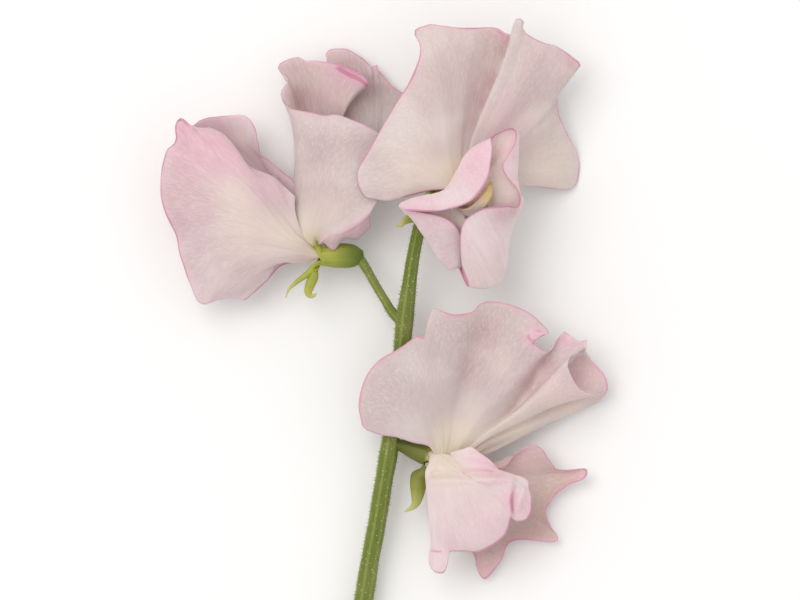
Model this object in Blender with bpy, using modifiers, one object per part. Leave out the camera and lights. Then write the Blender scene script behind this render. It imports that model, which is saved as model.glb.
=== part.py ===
"""Sweet pea: one cut stem with three open blossoms, lying on a flat surface.

The stem lies along Y with its cut end at -Y, and the blossoms face up and sideways.
Every blossom has a calyx cup with five teeth, one standard, two wings and one keel.
Lengths in the cages are in millimetres; MM turns them into metres.
"""
import math

import bmesh
import bpy
from mathutils import Vector

MM = 0.001

# The middle of the object's box and its lowest point, so that the origin lies under the
# middle, on the surface that the flower rests on.
MIDDLE_X = -3.1
MIDDLE_Y = -13.5
FLOOR_Z = -0.14

PETAL_THICKNESS = 0.45
KEEL_THICKNESS = 0.4
CALYX_THICKNESS = 0.45
SMOOTHING = 1
STALK_BEVEL_RESOLUTION = 2
MERGE_DISTANCE = 0.00001

# A petal's claw starts this deep inside the calyx mouth, drawn in towards the cup's axis.
CLAW_DEPTH = 1.2
CLAW_SHARE = 0.75

# Calyx cup: how its radius grows along its length, and its five pointed teeth.
CUP_GROWTH = ((0.0, 0.0), (0.35, 0.75), (1.0, 1.0))
TEETH = 5
TOOTH_STEPS = 2
TOOTH_HALF_ANGLE = math.pi / TEETH
TOOTH_TAPER = 0.8
TOOTH_SHARES = (0.35, 0.7, 1.0)

# Stem: centre line and radius from the cut end to the top flower.
STEM_LINE = [
    (-11.0, -82.0, 1.9, 2.0),
    (-9.2, -71.0, 3.1, 1.95),
    (-7.3, -60.0, 4.2, 1.9),
    (-4.9, -45.5, 5.6, 1.8),
    (-2.4, -30.6, 7.0, 1.75),
    (-0.9, -20.0, 7.8, 1.7),
    (0.3, -10.0, 8.6, 1.65),
    (0.9, -4.0, 9.0, 1.6),
    (1.5, 0.0, 9.3, 1.55),
    (2.5, 8.0, 10.0, 1.35),
    (3.5, 14.0, 10.9, 1.25),
    (4.4, 17.0, 11.9, 1.0),
    (5.2, 18.7, 13.0, 0.85),
]
LEFT_STALK_LINE = [
    (0.9, -4.6, 9.0, 0.9),
    (-0.8, -1.8, 9.2, 0.85),
    (-4.0, 2.6, 9.0, 0.8),
    (-7.2, 7.2, 8.5, 0.8),
]
LOWER_STALK_LINE = [
    (-2.4, -29.4, 7.0, 1.3),
    (-0.4, -29.8, 7.2, 1.2),
    (1.7, -30.25, 7.3, 1.0),
]

# Calyx cups: where the cup starts, where its mouth is, its radii, where its first tooth
# stands (in degrees, from straight up) and each tooth's (length, bend outward in radians).
CALYX_CUPS = {
    "upper": {
        "base": (5.9, 19.1, 13.8),
        "mouth": (8.8, 20.1, 15.5),
        "base_radius": 1.2,
        "mouth_radius": 2.5,
        "first_tooth": 54,
        "teeth": [(0.8, 2.4), (3.2, 2.4), (2.0, 2.4), (1.0, 2.4), (0.8, 2.4)],
    },
    "left": {
        "base": (-8.1, 7.8, 8.4),
        "mouth": (-14.6, 9.6, 8.7),
        "base_radius": 1.6,
        "mouth_radius": 2.7,
        "first_tooth": 0,
        "teeth": [(2.0, 2.4), (1.0, 2.4), (1.0, 2.4), (3.0, 2.4), (7.0, 2.0)],
    },
    "lower": {
        "base": (2.3, -30.4, 7.4),
        "mouth": (5.2, -31.3, 8.2),
        "base_radius": 1.3,
        "mouth_radius": 2.5,
        "first_tooth": 18,
        "teeth": [(1.2, 2.4), (8.0, 2.4), (2.0, 2.4), (1.0, 2.4), (0.8, 2.4)],
    },
}

# Petal cages. Each row is one vein, read from the claw to the margin.
UPPER_STANDARD = [
    [(10.4, 21.9, 17.1), (6.6, 22.2, 17.9), (1.2, 20.8, 16.6), (-3.2, 19.8, 16.0), (-7.8, 20.6, 15.6)],
    [(10.3, 22.3, 17.1), (5.4, 25.4, 18.0), (0.2, 26.0, 18.0), (-4.6, 26.2, 17.4), (-9.2, 26.4, 16.6)],
    [(10.5, 22.6, 17.2), (6.2, 30.0, 18.4), (2.4, 33.6, 18.8), (-1.0, 35.0, 18.4), (-4.0, 35.6, 17.6)],
    [(10.8, 22.8, 17.2), (8.6, 33.4, 18.6), (6.4, 40.6, 19.0), (5.0, 45.0, 18.8), (4.0, 48.6, 18.6)],
    [(11.1, 22.9, 17.2), (10.0, 34.6, 18.4), (8.2, 43.8, 18.8), (5.4, 50.6, 18.6), (1.8, 55.8, 18.6)],
    [(11.4, 23.0, 17.1), (11.8, 34.8, 18.0), (11.6, 44.0, 18.2), (11.2, 50.8, 18.4), (10.8, 55.2, 18.8)],
    [(11.8, 23.0, 17.0), (13.6, 34.4, 17.4), (15.4, 43.0, 17.2), (17.2, 49.6, 17.4), (18.6, 54.6, 17.6)],
    [(12.1, 22.9, 17.0), (15.4, 33.4, 17.6), (18.4, 41.4, 17.8), (21.0, 48.0, 17.8), (23.4, 56.4, 17.6)],
    [(12.4, 22.7, 16.8), (17.8, 32.0, 16.8), (22.8, 38.8, 16.0), (27.2, 44.6, 14.6), (31.4, 50.0, 12.6)],
    [(12.7, 22.4, 16.6), (19.8, 30.2, 15.6), (26.2, 36.0, 13.4), (31.2, 41.0, 10.6), (37.6, 47.4, 8.6)],
    [(12.9, 22.1, 16.3), (20.2, 27.8, 14.4), (26.0, 31.6, 10.8), (29.6, 35.2, 7.4), (31.8, 38.4, 5.4)],
    [(13.0, 21.8, 16.0), (20.4, 25.4, 13.2), (26.6, 26.8, 9.2), (31.8, 27.6, 4.6), (36.8, 28.4, -0.2)],
    [(13.0, 21.5, 15.7), (19.0, 23.0, 12.6), (24.0, 23.0, 9.4), (29.0, 22.6, 5.2), (35.4, 21.8, -0.2)],
]
UPPER_LEFT_WING = [
    [(9.9, 19.6, 17.7), (10.6, 14.4, 18.2), (9.8, 6.4, 15.4), (10.8, 5.8, 16.6), (12.2, 6.8, 17.6)],
    [(9.8, 19.7, 17.7), (8.8, 14.8, 18.8), (6.2, 11.2, 16.6), (9.0, 12.0, 19.2), (11.8, 12.4, 20.2)],
    [(9.7, 19.9, 17.8), (7.2, 16.4, 20.0), (3.0, 14.8, 17.4), (6.6, 15.4, 19.8), (10.2, 15.4, 21.0)],
    [(9.7, 20.1, 17.8), (6.4, 17.8, 21.0), (-0.8, 18.6, 19.0), (2.0, 18.2, 20.6), (4.0, 17.6, 21.4)],
    [(9.6, 20.3, 17.8), (6.8, 19.8, 21.0), (3.4, 20.4, 20.4), (5.4, 19.0, 22.6), (7.4, 17.8, 23.6)],
    [(9.6, 20.5, 17.7), (8.0, 21.2, 20.4), (8.0, 22.0, 20.8), (10.6, 20.2, 24.0), (13.0, 18.6, 25.2)],
    [(9.6, 20.7, 17.7), (10.0, 23.0, 20.4), (11.0, 24.8, 21.2), (13.8, 23.0, 25.2), (16.6, 21.4, 26.4)],
    [(9.7, 20.9, 17.6), (11.4, 25.4, 20.6), (12.4, 28.0, 21.6), (15.2, 27.0, 25.2), (18.2, 26.0, 26.2)],
    [(9.8, 21.0, 17.5), (12.8, 28.0, 21.0), (15.4, 32.0, 22.4), (16.8, 32.0, 24.4), (18.4, 31.6, 25.2)],
]
UPPER_RIGHT_WING = [
    [(12.1, 19.4, 16.0), (12.8, 12.0, 14.8), (13.2, 2.4, 15.4), (12.9, 5.8, 17.0), (12.4, 9.4, 19.2)],
    [(12.1, 19.5, 16.0), (15.8, 12.0, 14.0), (17.4, 1.8, 14.6), (14.6, 9.2, 20.4), (12.4, 13.8, 21.2)],
    [(12.0, 19.7, 16.0), (18.4, 12.6, 13.6), (21.0, 3.8, 14.2), (17.2, 11.4, 22.0), (13.6, 17.0, 22.2)],
    [(12.0, 19.8, 16.1), (19.8, 14.6, 13.8), (22.0, 11.0, 14.8), (19.2, 14.6, 22.0), (16.6, 18.4, 22.2)],
    [(12.0, 19.9, 16.1), (20.6, 17.4, 14.8), (23.4, 16.6, 16.0), (21.4, 17.4, 20.6), (19.8, 18.8, 21.2)],
    [(11.9, 20.1, 16.1), (20.6, 20.0, 17.4), (25.4, 19.8, 18.4), (23.6, 19.2, 19.8), (22.6, 18.8, 20.4)],
    [(11.9, 20.2, 16.1), (20.0, 22.6, 18.8), (23.8, 22.6, 19.4), (23.0, 23.0, 21.4), (21.8, 23.6, 22.8)],
    [(11.8, 20.4, 16.2), (19.4, 25.6, 19.4), (23.4, 26.6, 20.4), (22.0, 26.2, 23.0), (20.4, 26.4, 24.4)],
    [(11.8, 20.5, 16.2), (18.8, 28.4, 20.0), (24.0, 33.4, 21.6), (22.6, 31.4, 23.2), (21.6, 30.0, 24.2)],
    [(11.7, 20.6, 16.2), (18.2, 29.0, 20.4), (19.8, 34.4, 22.2), (19.4, 33.0, 22.8), (19.0, 31.6, 23.4)],
]
UPPER_KEEL = [
    [(10.4, 19.1, 17.2), (12.4, 18.2, 20.4), (14.4, 19.0, 22.0), (17.0, 21.4, 23.0)],
    [(10.4, 18.9, 16.9), (13.0, 17.0, 19.0), (15.8, 17.8, 20.8), (17.8, 21.0, 22.6)],
    [(10.6, 18.8, 16.7), (13.8, 17.0, 18.2), (16.8, 18.4, 20.0), (18.4, 21.2, 22.4)],
    [(10.8, 19.0, 16.6), (14.2, 18.2, 18.8), (16.8, 19.4, 20.4), (18.2, 21.6, 22.6)],
    [(10.9, 19.3, 16.7), (13.8, 19.2, 20.0), (15.8, 20.4, 21.4), (17.4, 22.0, 23.0)],
]

LEFT_STANDARD = [
    [(-16.4, 11.0, 10.4), (-14.4, 11.4, 12.2), (-12.6, 10.6, 12.8), (-10.4, 11.6, 12.8), (-6.2, 14.6, 12.4)],
    [(-16.6, 11.2, 10.3), (-14.4, 13.0, 12.8), (-11.6, 13.8, 13.8), (-8.4, 15.2, 14.0), (-5.4, 17.6, 13.6)],
    [(-16.8, 11.4, 10.2), (-14.4, 16.0, 13.2), (-10.8, 20.0, 14.4), (-6.8, 24.0, 14.6), (-3.0, 27.0, 14.0)],
    [(-17.0, 11.6, 10.1), (-15.6, 18.6, 13.2), (-12.6, 25.6, 14.4), (-8.8, 31.0, 14.6), (-4.0, 34.4, 14.2)],
    [(-17.2, 11.7, 9.9), (-17.6, 19.0, 12.2), (-16.8, 27.4, 13.2), (-15.6, 33.8, 13.4), (-14.4, 38.2, 13.2)],
    [(-17.3, 11.8, 9.5), (-20.4, 19.0, 9.8), (-21.4, 27.0, 9.6), (-22.4, 34.4, 9.2), (-24.4, 40.6, 8.8)],
    [(-17.2, 11.8, 8.9), (-18.8, 19.6, 6.6), (-19.2, 29.4, 4.6), (-21.0, 39.0, 4.0), (-25.6, 47.4, 5.0)],
    [(-17.0, 11.7, 8.3), (-16.2, 19.4, 4.4), (-14.6, 29.6, 2.0), (-15.2, 40.0, 1.2), (-18.0, 49.6, 3.4)],
    [(-16.8, 11.6, 7.9), (-13.6, 18.4, 3.6), (-10.4, 28.4, 1.0), (-10.4, 39.6, 0.4), (-11.8, 51.6, 2.4)],
    [(-16.7, 11.4, 7.6), (-12.4, 17.0, 3.6), (-7.6, 25.8, 1.2), (-4.6, 36.0, 0.2), (-3.8, 47.8, 2.0)],
    [(-16.8, 11.1, 7.6), (-11.8, 15.8, 4.2), (-6.4, 22.4, 2.2), (-1.8, 31.0, 1.2), (1.6, 42.2, 2.4)],
    [(-16.7, 10.9, 7.5), (-12.6, 14.4, 4.8), (-8.0, 18.0, 3.8), (-4.6, 22.0, 3.4), (-1.4, 27.0, 3.6)],
]
LEFT_NEAR_WING = [
    [(-16.2, 8.4, 10.1), (-20.4, 7.4, 10.6), (-24.4, 6.6, 10.2), (-27.4, 3.0, 8.6), (-30.8, -0.4, 6.6)],
    [(-16.3, 8.6, 10.3), (-22.0, 8.6, 11.4), (-28.0, 7.2, 11.8), (-33.4, 3.4, 10.4), (-38.2, -1.0, 7.6)],
    [(-16.4, 8.8, 10.4), (-23.0, 10.2, 12.0), (-30.6, 10.0, 13.0), (-36.8, 6.8, 12.0), (-43.2, 0.6, 8.6)],
    [(-16.5, 9.1, 10.5), (-23.8, 12.6, 12.4), (-32.0, 14.8, 13.8), (-39.6, 14.6, 13.0), (-46.0, 12.4, 9.4)],
    [(-16.6, 9.4, 10.6), (-23.4, 15.0, 12.6), (-31.4, 19.6, 14.2), (-39.6, 22.0, 13.4), (-49.2, 23.4, 9.4)],
    [(-16.7, 9.7, 10.6), (-22.2, 17.0, 12.6), (-29.4, 23.0, 14.2), (-37.4, 28.0, 14.0), (-45.4, 33.0, 10.8)],
    [(-16.8, 10.0, 10.5), (-21.4, 17.8, 12.2), (-27.0, 24.2, 13.8), (-32.6, 29.6, 14.4), (-37.6, 35.6, 13.6)],
    [(-16.9, 10.2, 10.4), (-20.6, 17.0, 11.8), (-24.4, 21.6, 12.8), (-27.6, 24.8, 13.2), (-31.0, 28.8, 13.6)],
    [(-17.0, 10.4, 10.3), (-19.4, 14.4, 11.2), (-20.8, 17.4, 11.6), (-21.4, 19.2, 11.8), (-21.6, 21.0, 11.8)],
]
LEFT_FAR_WING = [
    [(-16.2, 8.5, 7.3), (-20.4, 7.6, 5.8), (-24.0, 6.4, 4.6), (-26.6, 3.6, 4.0), (-29.8, 0.8, 4.4)],
    [(-16.3, 8.7, 7.2), (-22.0, 8.8, 4.6), (-28.0, 6.8, 2.4), (-32.8, 3.6, 2.0), (-37.8, 0.4, 4.2)],
    [(-16.4, 8.9, 7.1), (-23.4, 11.0, 3.8), (-30.8, 11.2, 0.8), (-37.2, 9.2, 0.6), (-42.4, 6.0, 4.6)],
    [(-16.5, 9.2, 7.0), (-23.6, 14.0, 3.4), (-31.6, 17.2, 0.1), (-39.2, 18.8, 0.1), (-45.8, 19.8, 5.2)],
    [(-16.6, 9.5, 7.0), (-23.2, 17.0, 3.4), (-30.8, 23.4, 0.2), (-38.8, 28.0, 0.8), (-45.2, 32.0, 5.6)],
    [(-16.7, 9.8, 7.1), (-21.8, 19.4, 4.0), (-28.6, 27.0, 1.2), (-35.2, 32.0, 2.0), (-42.6, 38.4, 6.0)],
    [(-16.8, 10.1, 7.2), (-20.6, 19.6, 4.4), (-25.4, 26.4, 2.4), (-30.0, 32.0, 2.8), (-33.6, 38.4, 5.0)],
    [(-16.9, 10.3, 7.4), (-20.0, 18.4, 5.2), (-22.8, 23.8, 3.8), (-25.6, 28.6, 3.4), (-28.2, 34.6, 4.4)],
]
LEFT_KEEL = [
    [(-16.2, 9.6, 9.1), (-19.2, 9.9, 9.9), (-23.4, 10.5, 10.0), (-27.6, 11.2, 9.0)],
    [(-16.3, 8.9, 9.2), (-19.6, 8.7, 10.0), (-24.0, 8.9, 10.0), (-28.2, 10.0, 8.9)],
    [(-16.4, 8.4, 8.8), (-19.8, 7.7, 8.6), (-24.2, 7.9, 8.4), (-28.6, 9.6, 8.6)],
    [(-16.3, 8.9, 8.4), (-19.6, 8.7, 7.2), (-24.0, 8.9, 6.8), (-28.2, 10.0, 8.2)],
    [(-16.2, 9.6, 8.4), (-19.2, 9.9, 7.4), (-23.4, 10.5, 6.8), (-27.6, 11.2, 8.1)],
]

LOWER_STANDARD = [
    [(8.0, -30.5, 9.7), (5.0, -28.0, 12.0), (0.0, -27.8, 11.4), (-4.0, -27.4, 11.4), (-8.2, -25.4, 11.2)],
    [(8.0, -30.4, 9.8), (5.0, -24.8, 12.8), (-0.2, -21.6, 12.8), (-4.6, -19.4, 12.8), (-9.2, -17.6, 12.0)],
    [(8.0, -30.3, 9.8), (6.2, -22.6, 12.8), (3.2, -16.6, 14.0), (0.0, -12.0, 14.0), (-2.8, -9.4, 13.0)],
    [(8.0, -30.2, 9.8), (8.0, -21.2, 12.8), (6.6, -13.8, 14.2), (5.2, -8.6, 14.2), (4.6, -6.0, 13.6)],
    [(8.1, -30.2, 9.8), (9.2, -20.8, 12.8), (9.0, -13.0, 13.8), (7.8, -7.0, 13.8), (6.8, -0.8, 13.8)],
    [(8.1, -30.2, 9.7), (11.0, -20.8, 12.2), (12.2, -13.0, 12.8), (13.0, -7.0, 13.0), (14.0, -2.8, 13.2)],
    [(8.2, -30.2, 9.6), (13.0, -21.2, 11.4), (15.8, -13.6, 11.4), (17.6, -6.8, 12.0), (18.6, 0.4, 12.4)],
    [(8.3, -30.2, 9.5), (14.8, -22.6, 12.0), (19.8, -15.4, 12.8), (23.2, -8.6, 13.0), (26.2, -1.6, 12.4)],
    [(8.4, -30.3, 9.5), (16.4, -24.2, 11.8), (22.6, -18.6, 12.2), (27.0, -13.0, 12.0), (31.2, -7.4, 11.4)],
    [(8.6, -30.4, 9.3), (18.0, -26.2, 10.6), (24.6, -21.6, 10.6), (29.8, -16.4, 10.6), (37.6, -7.4, 10.2)],
    [(8.7, -30.5, 9.1), (19.0, -27.6, 10.8), (27.0, -23.8, 10.8), (33.8, -19.4, 10.0), (41.4, -13.8, 8.2)],
    [(8.8, -30.7, 8.9), (19.2, -29.0, 8.8), (27.6, -25.8, 8.0), (35.0, -22.6, 5.6), (42.6, -19.6, 2.8)],
    [(8.8, -30.9, 8.6), (18.0, -30.4, 7.0), (24.4, -28.0, 5.4), (30.6, -25.6, 2.4), (37.0, -22.4, -0.8)],
]
LOWER_NEAR_WING = [
    [(7.0, -32.6, 10.1), (5.0, -37.0, 11.6), (5.0, -43.0, 12.4), (5.6, -49.0, 11.6), (7.2, -56.2, 9.6)],
    [(7.2, -32.6, 10.3), (8.2, -38.0, 13.4), (9.4, -43.6, 14.6), (10.4, -48.0, 14.0), (11.6, -50.8, 12.4)],
    [(7.4, -32.5, 10.4), (11.2, -37.6, 14.8), (13.8, -42.6, 16.0), (15.8, -47.0, 15.4), (17.4, -51.4, 13.6)],
    [(7.6, -32.4, 10.5), (13.0, -36.4, 15.2), (16.8, -40.2, 16.4), (19.6, -43.8, 16.0), (22.4, -47.4, 14.6)],
    [(7.8, -32.2, 10.5), (13.6, -34.8, 14.8), (17.6, -36.8, 16.0), (20.8, -38.8, 16.0), (23.8, -41.4, 15.2)],
    [(8.0, -32.0, 10.5), (13.2, -32.8, 13.8), (17.0, -33.8, 14.8), (20.8, -35.0, 15.0), (25.2, -36.6, 14.6)],
    [(8.2, -31.7, 10.4), (11.4, -30.2, 12.2), (14.6, -29.0, 13.0), (17.8, -30.8, 13.6), (22.0, -34.4, 13.8)],
]
LOWER_FAR_WING = [
    [(7.0, -33.3, 7.3), (9.0, -39.0, 5.2), (11.6, -45.0, 3.6), (14.2, -51.0, 2.4), (16.8, -58.0, 2.6)],
    [(7.2, -33.2, 7.2), (11.4, -38.6, 4.6), (15.6, -43.4, 2.4), (19.2, -47.0, 1.0), (21.6, -50.0, 1.8)],
    [(7.4, -33.1, 7.1), (13.2, -37.8, 4.2), (19.0, -41.8, 1.4), (25.0, -45.2, 0.2), (32.6, -49.2, 1.4)],
    [(7.6, -33.0, 7.1), (14.2, -36.6, 4.2), (20.4, -39.2, 1.6), (25.0, -40.6, 0.6), (28.6, -41.8, 2.4)],
    [(7.8, -32.8, 7.1), (14.6, -35.4, 4.4), (21.2, -36.8, 2.4), (29.0, -36.2, 1.4), (39.4, -34.6, 3.0)],
    [(8.0, -32.6, 7.1), (14.2, -34.0, 5.0), (20.0, -34.2, 3.8), (25.0, -33.4, 3.6), (30.4, -32.2, 4.8)],
    [(8.1, -32.4, 7.2), (12.8, -33.0, 5.6), (17.2, -33.0, 4.8), (21.6, -31.4, 4.8), (26.4, -27.8, 5.8)],
]
LOWER_KEEL = [
    [(7.0, -31.8, 9.1), (11.0, -33.4, 10.4), (15.6, -35.4, 10.8), (19.6, -37.8, 9.6)],
    [(6.8, -32.3, 9.2), (10.4, -34.8, 10.6), (14.8, -37.2, 10.8), (18.8, -39.0, 9.4)],
    [(6.7, -32.7, 8.8), (9.8, -35.6, 8.8), (14.2, -38.4, 8.6), (18.4, -39.6, 8.8)],
    [(6.8, -32.3, 8.4), (10.4, -34.8, 7.4), (14.8, -37.2, 6.8), (18.8, -39.0, 8.2)],
    [(7.0, -31.8, 8.2), (11.0, -33.4, 7.4), (15.6, -35.4, 6.8), (19.6, -37.8, 8.0)],
]

PETALS = {
    "upper_standard": UPPER_STANDARD,
    "upper_left_wing": UPPER_LEFT_WING,
    "upper_right_wing": UPPER_RIGHT_WING,
    "left_standard": LEFT_STANDARD,
    "left_near_wing": LEFT_NEAR_WING,
    "left_far_wing": LEFT_FAR_WING,
    "lower_standard": LOWER_STANDARD,
    "lower_near_wing": LOWER_NEAR_WING,
    "lower_far_wing": LOWER_FAR_WING,
}
KEELS = {
    "upper_keel": UPPER_KEEL,
    "left_keel": LEFT_KEEL,
    "lower_keel": LOWER_KEEL,
}


def place(point):
    """A cage point in millimetres as a place in the object's frame in metres."""
    x, y, z = point[:3]
    return Vector((x - MIDDLE_X, y - MIDDLE_Y, z - FLOOR_Z)) * MM


def make_material(name, colour, roughness):
    material = bpy.data.materials.new(name)
    material.use_nodes = True
    shader = material.node_tree.nodes["Principled BSDF"]
    shader.inputs["Base Color"].default_value = (*colour, 1.0)
    shader.inputs["Roughness"].default_value = roughness
    shader.inputs["Metallic"].default_value = 0.0
    return material


def add_object(name, mesh, material, collection):
    piece = bpy.data.objects.new(name, mesh)
    mesh.materials.append(material)
    collection.objects.link(piece)
    return piece


def finish_sheet(piece, thickness):
    """Round the coarse cage off and give the sheet its thickness."""
    smooth = piece.modifiers.new("Smooth form", "SUBSURF")
    smooth.levels = SMOOTHING
    smooth.render_levels = SMOOTHING
    wall = piece.modifiers.new("Sheet thickness", "SOLIDIFY")
    wall.thickness = thickness * MM
    wall.offset = 0.0
    piece.data.shade_smooth()


def claw_root(point, cup):
    """Where a vein starts inside the calyx cup, drawn in towards the cup's axis."""
    mouth = place(cup["mouth"])
    axis = (mouth - place(cup["base"])).normalized()
    offset = place(point) - mouth
    outward = offset - axis * offset.dot(axis)
    return mouth - axis * CLAW_DEPTH * MM + outward * CLAW_SHARE


def make_petal(name, cage, thickness, material, collection):
    """A petal is a loft between its veins, which are unlike each other."""
    bm = bmesh.new()
    cup = CALYX_CUPS[name.split("_")[0]]
    rows = []
    for vein in cage:
        places = [claw_root(vein[0], cup)] + [place(point) for point in vein]
        rows.append([bm.verts.new(spot) for spot in places])
    for near, far in zip(rows, rows[1:]):
        for step in range(len(near) - 1):
            bm.faces.new((near[step], near[step + 1], far[step + 1], far[step]))
    mesh = bpy.data.meshes.new(name)
    bm.to_mesh(mesh)
    bm.free()
    petal = add_object(name, mesh, material, collection)
    finish_sheet(petal, thickness)
    return petal


def make_calyx(name, cup, material, collection):
    """An open cup, its rings set along the stalk's axis, with five teeth on its rim."""
    base = place(cup["base"])
    mouth = place(cup["mouth"])
    axis = (mouth - base).normalized()
    up = (Vector((0, 0, 1)) - axis * axis.z).normalized()
    side = axis.cross(up)
    length = (mouth - base).length

    def ring_point(angle, radius, distance):
        outward = up * math.cos(angle) + side * math.sin(angle)
        return base + axis * distance + outward * radius

    bm = bmesh.new()
    sides = TEETH * TOOTH_STEPS
    half_step = math.pi / sides
    turn = math.radians(cup["first_tooth"])
    angles = [turn + math.tau * index / sides - half_step * TOOTH_STEPS for index in range(sides)]
    small = cup["base_radius"] * MM
    large = cup["mouth_radius"] * MM
    rings = []
    for share, growth in CUP_GROWTH:
        radius = small + (large - small) * growth
        ring = [bm.verts.new(ring_point(angle, radius, length * share)) for angle in angles]
        rings.append(ring)
    for low, high in zip(rings, rings[1:]):
        for index in range(sides):
            after = (index + 1) % sides
            bm.faces.new((low[index], low[after], high[after], high[index]))
    bm.faces.new(list(reversed(rings[0])))
    rim = rings[-1]
    for number, (tooth_length, bend) in enumerate(cup["teeth"]):
        middle = turn + math.tau * number / TEETH
        first = number * TOOTH_STEPS
        row = [rim[(first + step) % sides] for step in range(TOOTH_STEPS + 1)]
        for share in TOOTH_SHARES:
            reach = length + tooth_length * MM * math.sin(bend * share) / bend
            radius = large + tooth_length * MM * (1.0 - math.cos(bend * share)) / bend
            width = TOOTH_HALF_ANGLE * (1.0 - share * TOOTH_TAPER)
            next_row = []
            for step in range(TOOTH_STEPS + 1):
                spread = width * (2.0 * step / TOOTH_STEPS - 1.0) * large / radius
                next_row.append(bm.verts.new(ring_point(middle + spread, radius, reach)))
            for step in range(TOOTH_STEPS):
                bm.faces.new((row[step], row[step + 1], next_row[step + 1], next_row[step]))
            row = next_row
    mesh = bpy.data.meshes.new(name)
    bm.to_mesh(mesh)
    bm.free()
    calyx = add_object(name, mesh, material, collection)
    finish_sheet(calyx, CALYX_THICKNESS)
    return calyx


def make_tube(name, line, collection, material):
    """A stalk: a bevelled curve whose radius follows its centre line."""
    curve = bpy.data.curves.new(name, "CURVE")
    curve.dimensions = "3D"
    curve.bevel_depth = MM
    curve.bevel_resolution = STALK_BEVEL_RESOLUTION
    curve.use_fill_caps = True
    spline = curve.splines.new("POLY")
    spline.points.add(len(line) - 1)
    for point, (x, y, z, radius) in zip(spline.points, line):
        point.co = (*place((x, y, z)), 1.0)
        point.radius = radius
    tube = bpy.data.objects.new(name, curve)
    collection.objects.link(tube)
    bpy.context.view_layer.update()
    depsgraph = bpy.context.evaluated_depsgraph_get()
    mesh = bpy.data.meshes.new_from_object(tube.evaluated_get(depsgraph))
    matrix = tube.matrix_world.copy()
    bpy.data.objects.remove(tube)
    bm = bmesh.new()
    bm.from_mesh(mesh)
    bmesh.ops.remove_doubles(bm, verts=bm.verts, dist=MERGE_DISTANCE)
    bmesh.ops.recalc_face_normals(bm, faces=bm.faces)
    bm.to_mesh(mesh)
    bm.free()
    mesh.materials.clear()
    solid = add_object(name, mesh, material, collection)
    solid.matrix_world = matrix
    return solid


for old in list(bpy.data.objects):
    bpy.data.objects.remove(old)

parts = bpy.data.collections.new("sweet_pea")
cutters = bpy.data.collections.new("cutters")
for collection in (parts, cutters):
    bpy.context.scene.collection.children.link(collection)

stem_green = make_material("Stem", (0.16, 0.27, 0.06), 0.5)
calyx_green = make_material("Calyx", (0.32, 0.38, 0.08), 0.5)
petal_blush = make_material("Petal", (0.80, 0.62, 0.58), 0.55)
keel_cream = make_material("Keel", (0.82, 0.66, 0.30), 0.5)

stem = make_tube("flower_stem", STEM_LINE, parts, stem_green)
for number, line in enumerate((LEFT_STALK_LINE, LOWER_STALK_LINE)):
    stalk = make_tube(f"stalk_{number}", line, cutters, stem_green)
    stalk.hide_render = True
    stalk.display_type = "WIRE"
    joined = stem.modifiers.new(f"Grown stalk {number}", "BOOLEAN")
    joined.operation = "UNION"
    joined.solver = "EXACT"
    joined.object = stalk

for petal_name, petal_cage in PETALS.items():
    make_petal(petal_name, petal_cage, PETAL_THICKNESS, petal_blush, parts)
for keel_name, keel_cage in KEELS.items():
    make_petal(keel_name, keel_cage, KEEL_THICKNESS, keel_cream, parts)
for flower, cup in CALYX_CUPS.items():
    make_calyx(f"{flower}_calyx", cup, calyx_green, parts)
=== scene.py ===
"""Sweet pea spray: a cut stem with three open blossoms, lying on a pale table.

Lengths in this file are in millimetres on the flower's own drawing, whose middle is the
middle of the view; place() turns them into metres in the frame of the solid model.
"""

import math
import random

import bpy
import numpy as np
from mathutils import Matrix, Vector


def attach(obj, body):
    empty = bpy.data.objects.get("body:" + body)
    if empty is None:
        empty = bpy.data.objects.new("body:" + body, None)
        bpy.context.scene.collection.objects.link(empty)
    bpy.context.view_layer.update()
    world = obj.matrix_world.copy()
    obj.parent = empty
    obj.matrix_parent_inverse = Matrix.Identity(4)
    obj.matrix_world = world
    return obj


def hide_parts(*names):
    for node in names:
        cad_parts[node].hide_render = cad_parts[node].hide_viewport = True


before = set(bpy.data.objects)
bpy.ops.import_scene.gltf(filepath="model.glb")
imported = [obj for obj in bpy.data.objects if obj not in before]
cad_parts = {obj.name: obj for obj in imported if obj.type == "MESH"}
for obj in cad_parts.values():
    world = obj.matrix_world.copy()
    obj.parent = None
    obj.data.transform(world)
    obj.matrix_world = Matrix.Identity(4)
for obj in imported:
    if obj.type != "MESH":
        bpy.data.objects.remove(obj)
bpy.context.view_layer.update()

# ----------------------------------------------------------------------------------------
# Table, daylight and camera. The spray lies on a wide matt white table under soft light
# from a large diffuser at the upper left and an even pale surround; the camera looks
# straight down, because the cut stem lies flat.
MM = 0.001
# Where the solid model's origin lies on the drawing.
DRAWING_MIDDLE = np.array([-3.1, -13.5, -0.14])
CAMERA_HEIGHT = 2000.0
BLOSSOM_HEIGHT = 15.0
SENSOR_WIDTH = 36.0
VIEW_WIDTH = 160.0
TABLE_SIZE = 16000.0
TABLE_WHITE = "#F7F6F5"
TABLE_GREY = "#E8E6E4"
TABLE_MOTTLE_SIZE = 111.0
TABLE_MOTTLE_SHARE = 0.02
TABLE_FINISH = {"Roughness": 0.9, "Specular IOR Level": 0.1}
SURROUND_WHITE = "#FFFFFF"
SURROUND_STRENGTH = 0.8
DIFFUSER_SPOT = (-560.0, 520.0, 1500.0)
DIFFUSER_SIZE = 1100.0
DIFFUSER_WATTS = 11.5
DIFFUSER_WHITE = "#FFFDFB"


def place(points):
    """Drawing millimetres, one point or many, as metres in the solid model's frame."""
    return (np.asarray(points, float)[..., :3] - DRAWING_MIDDLE) * MM


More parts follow.
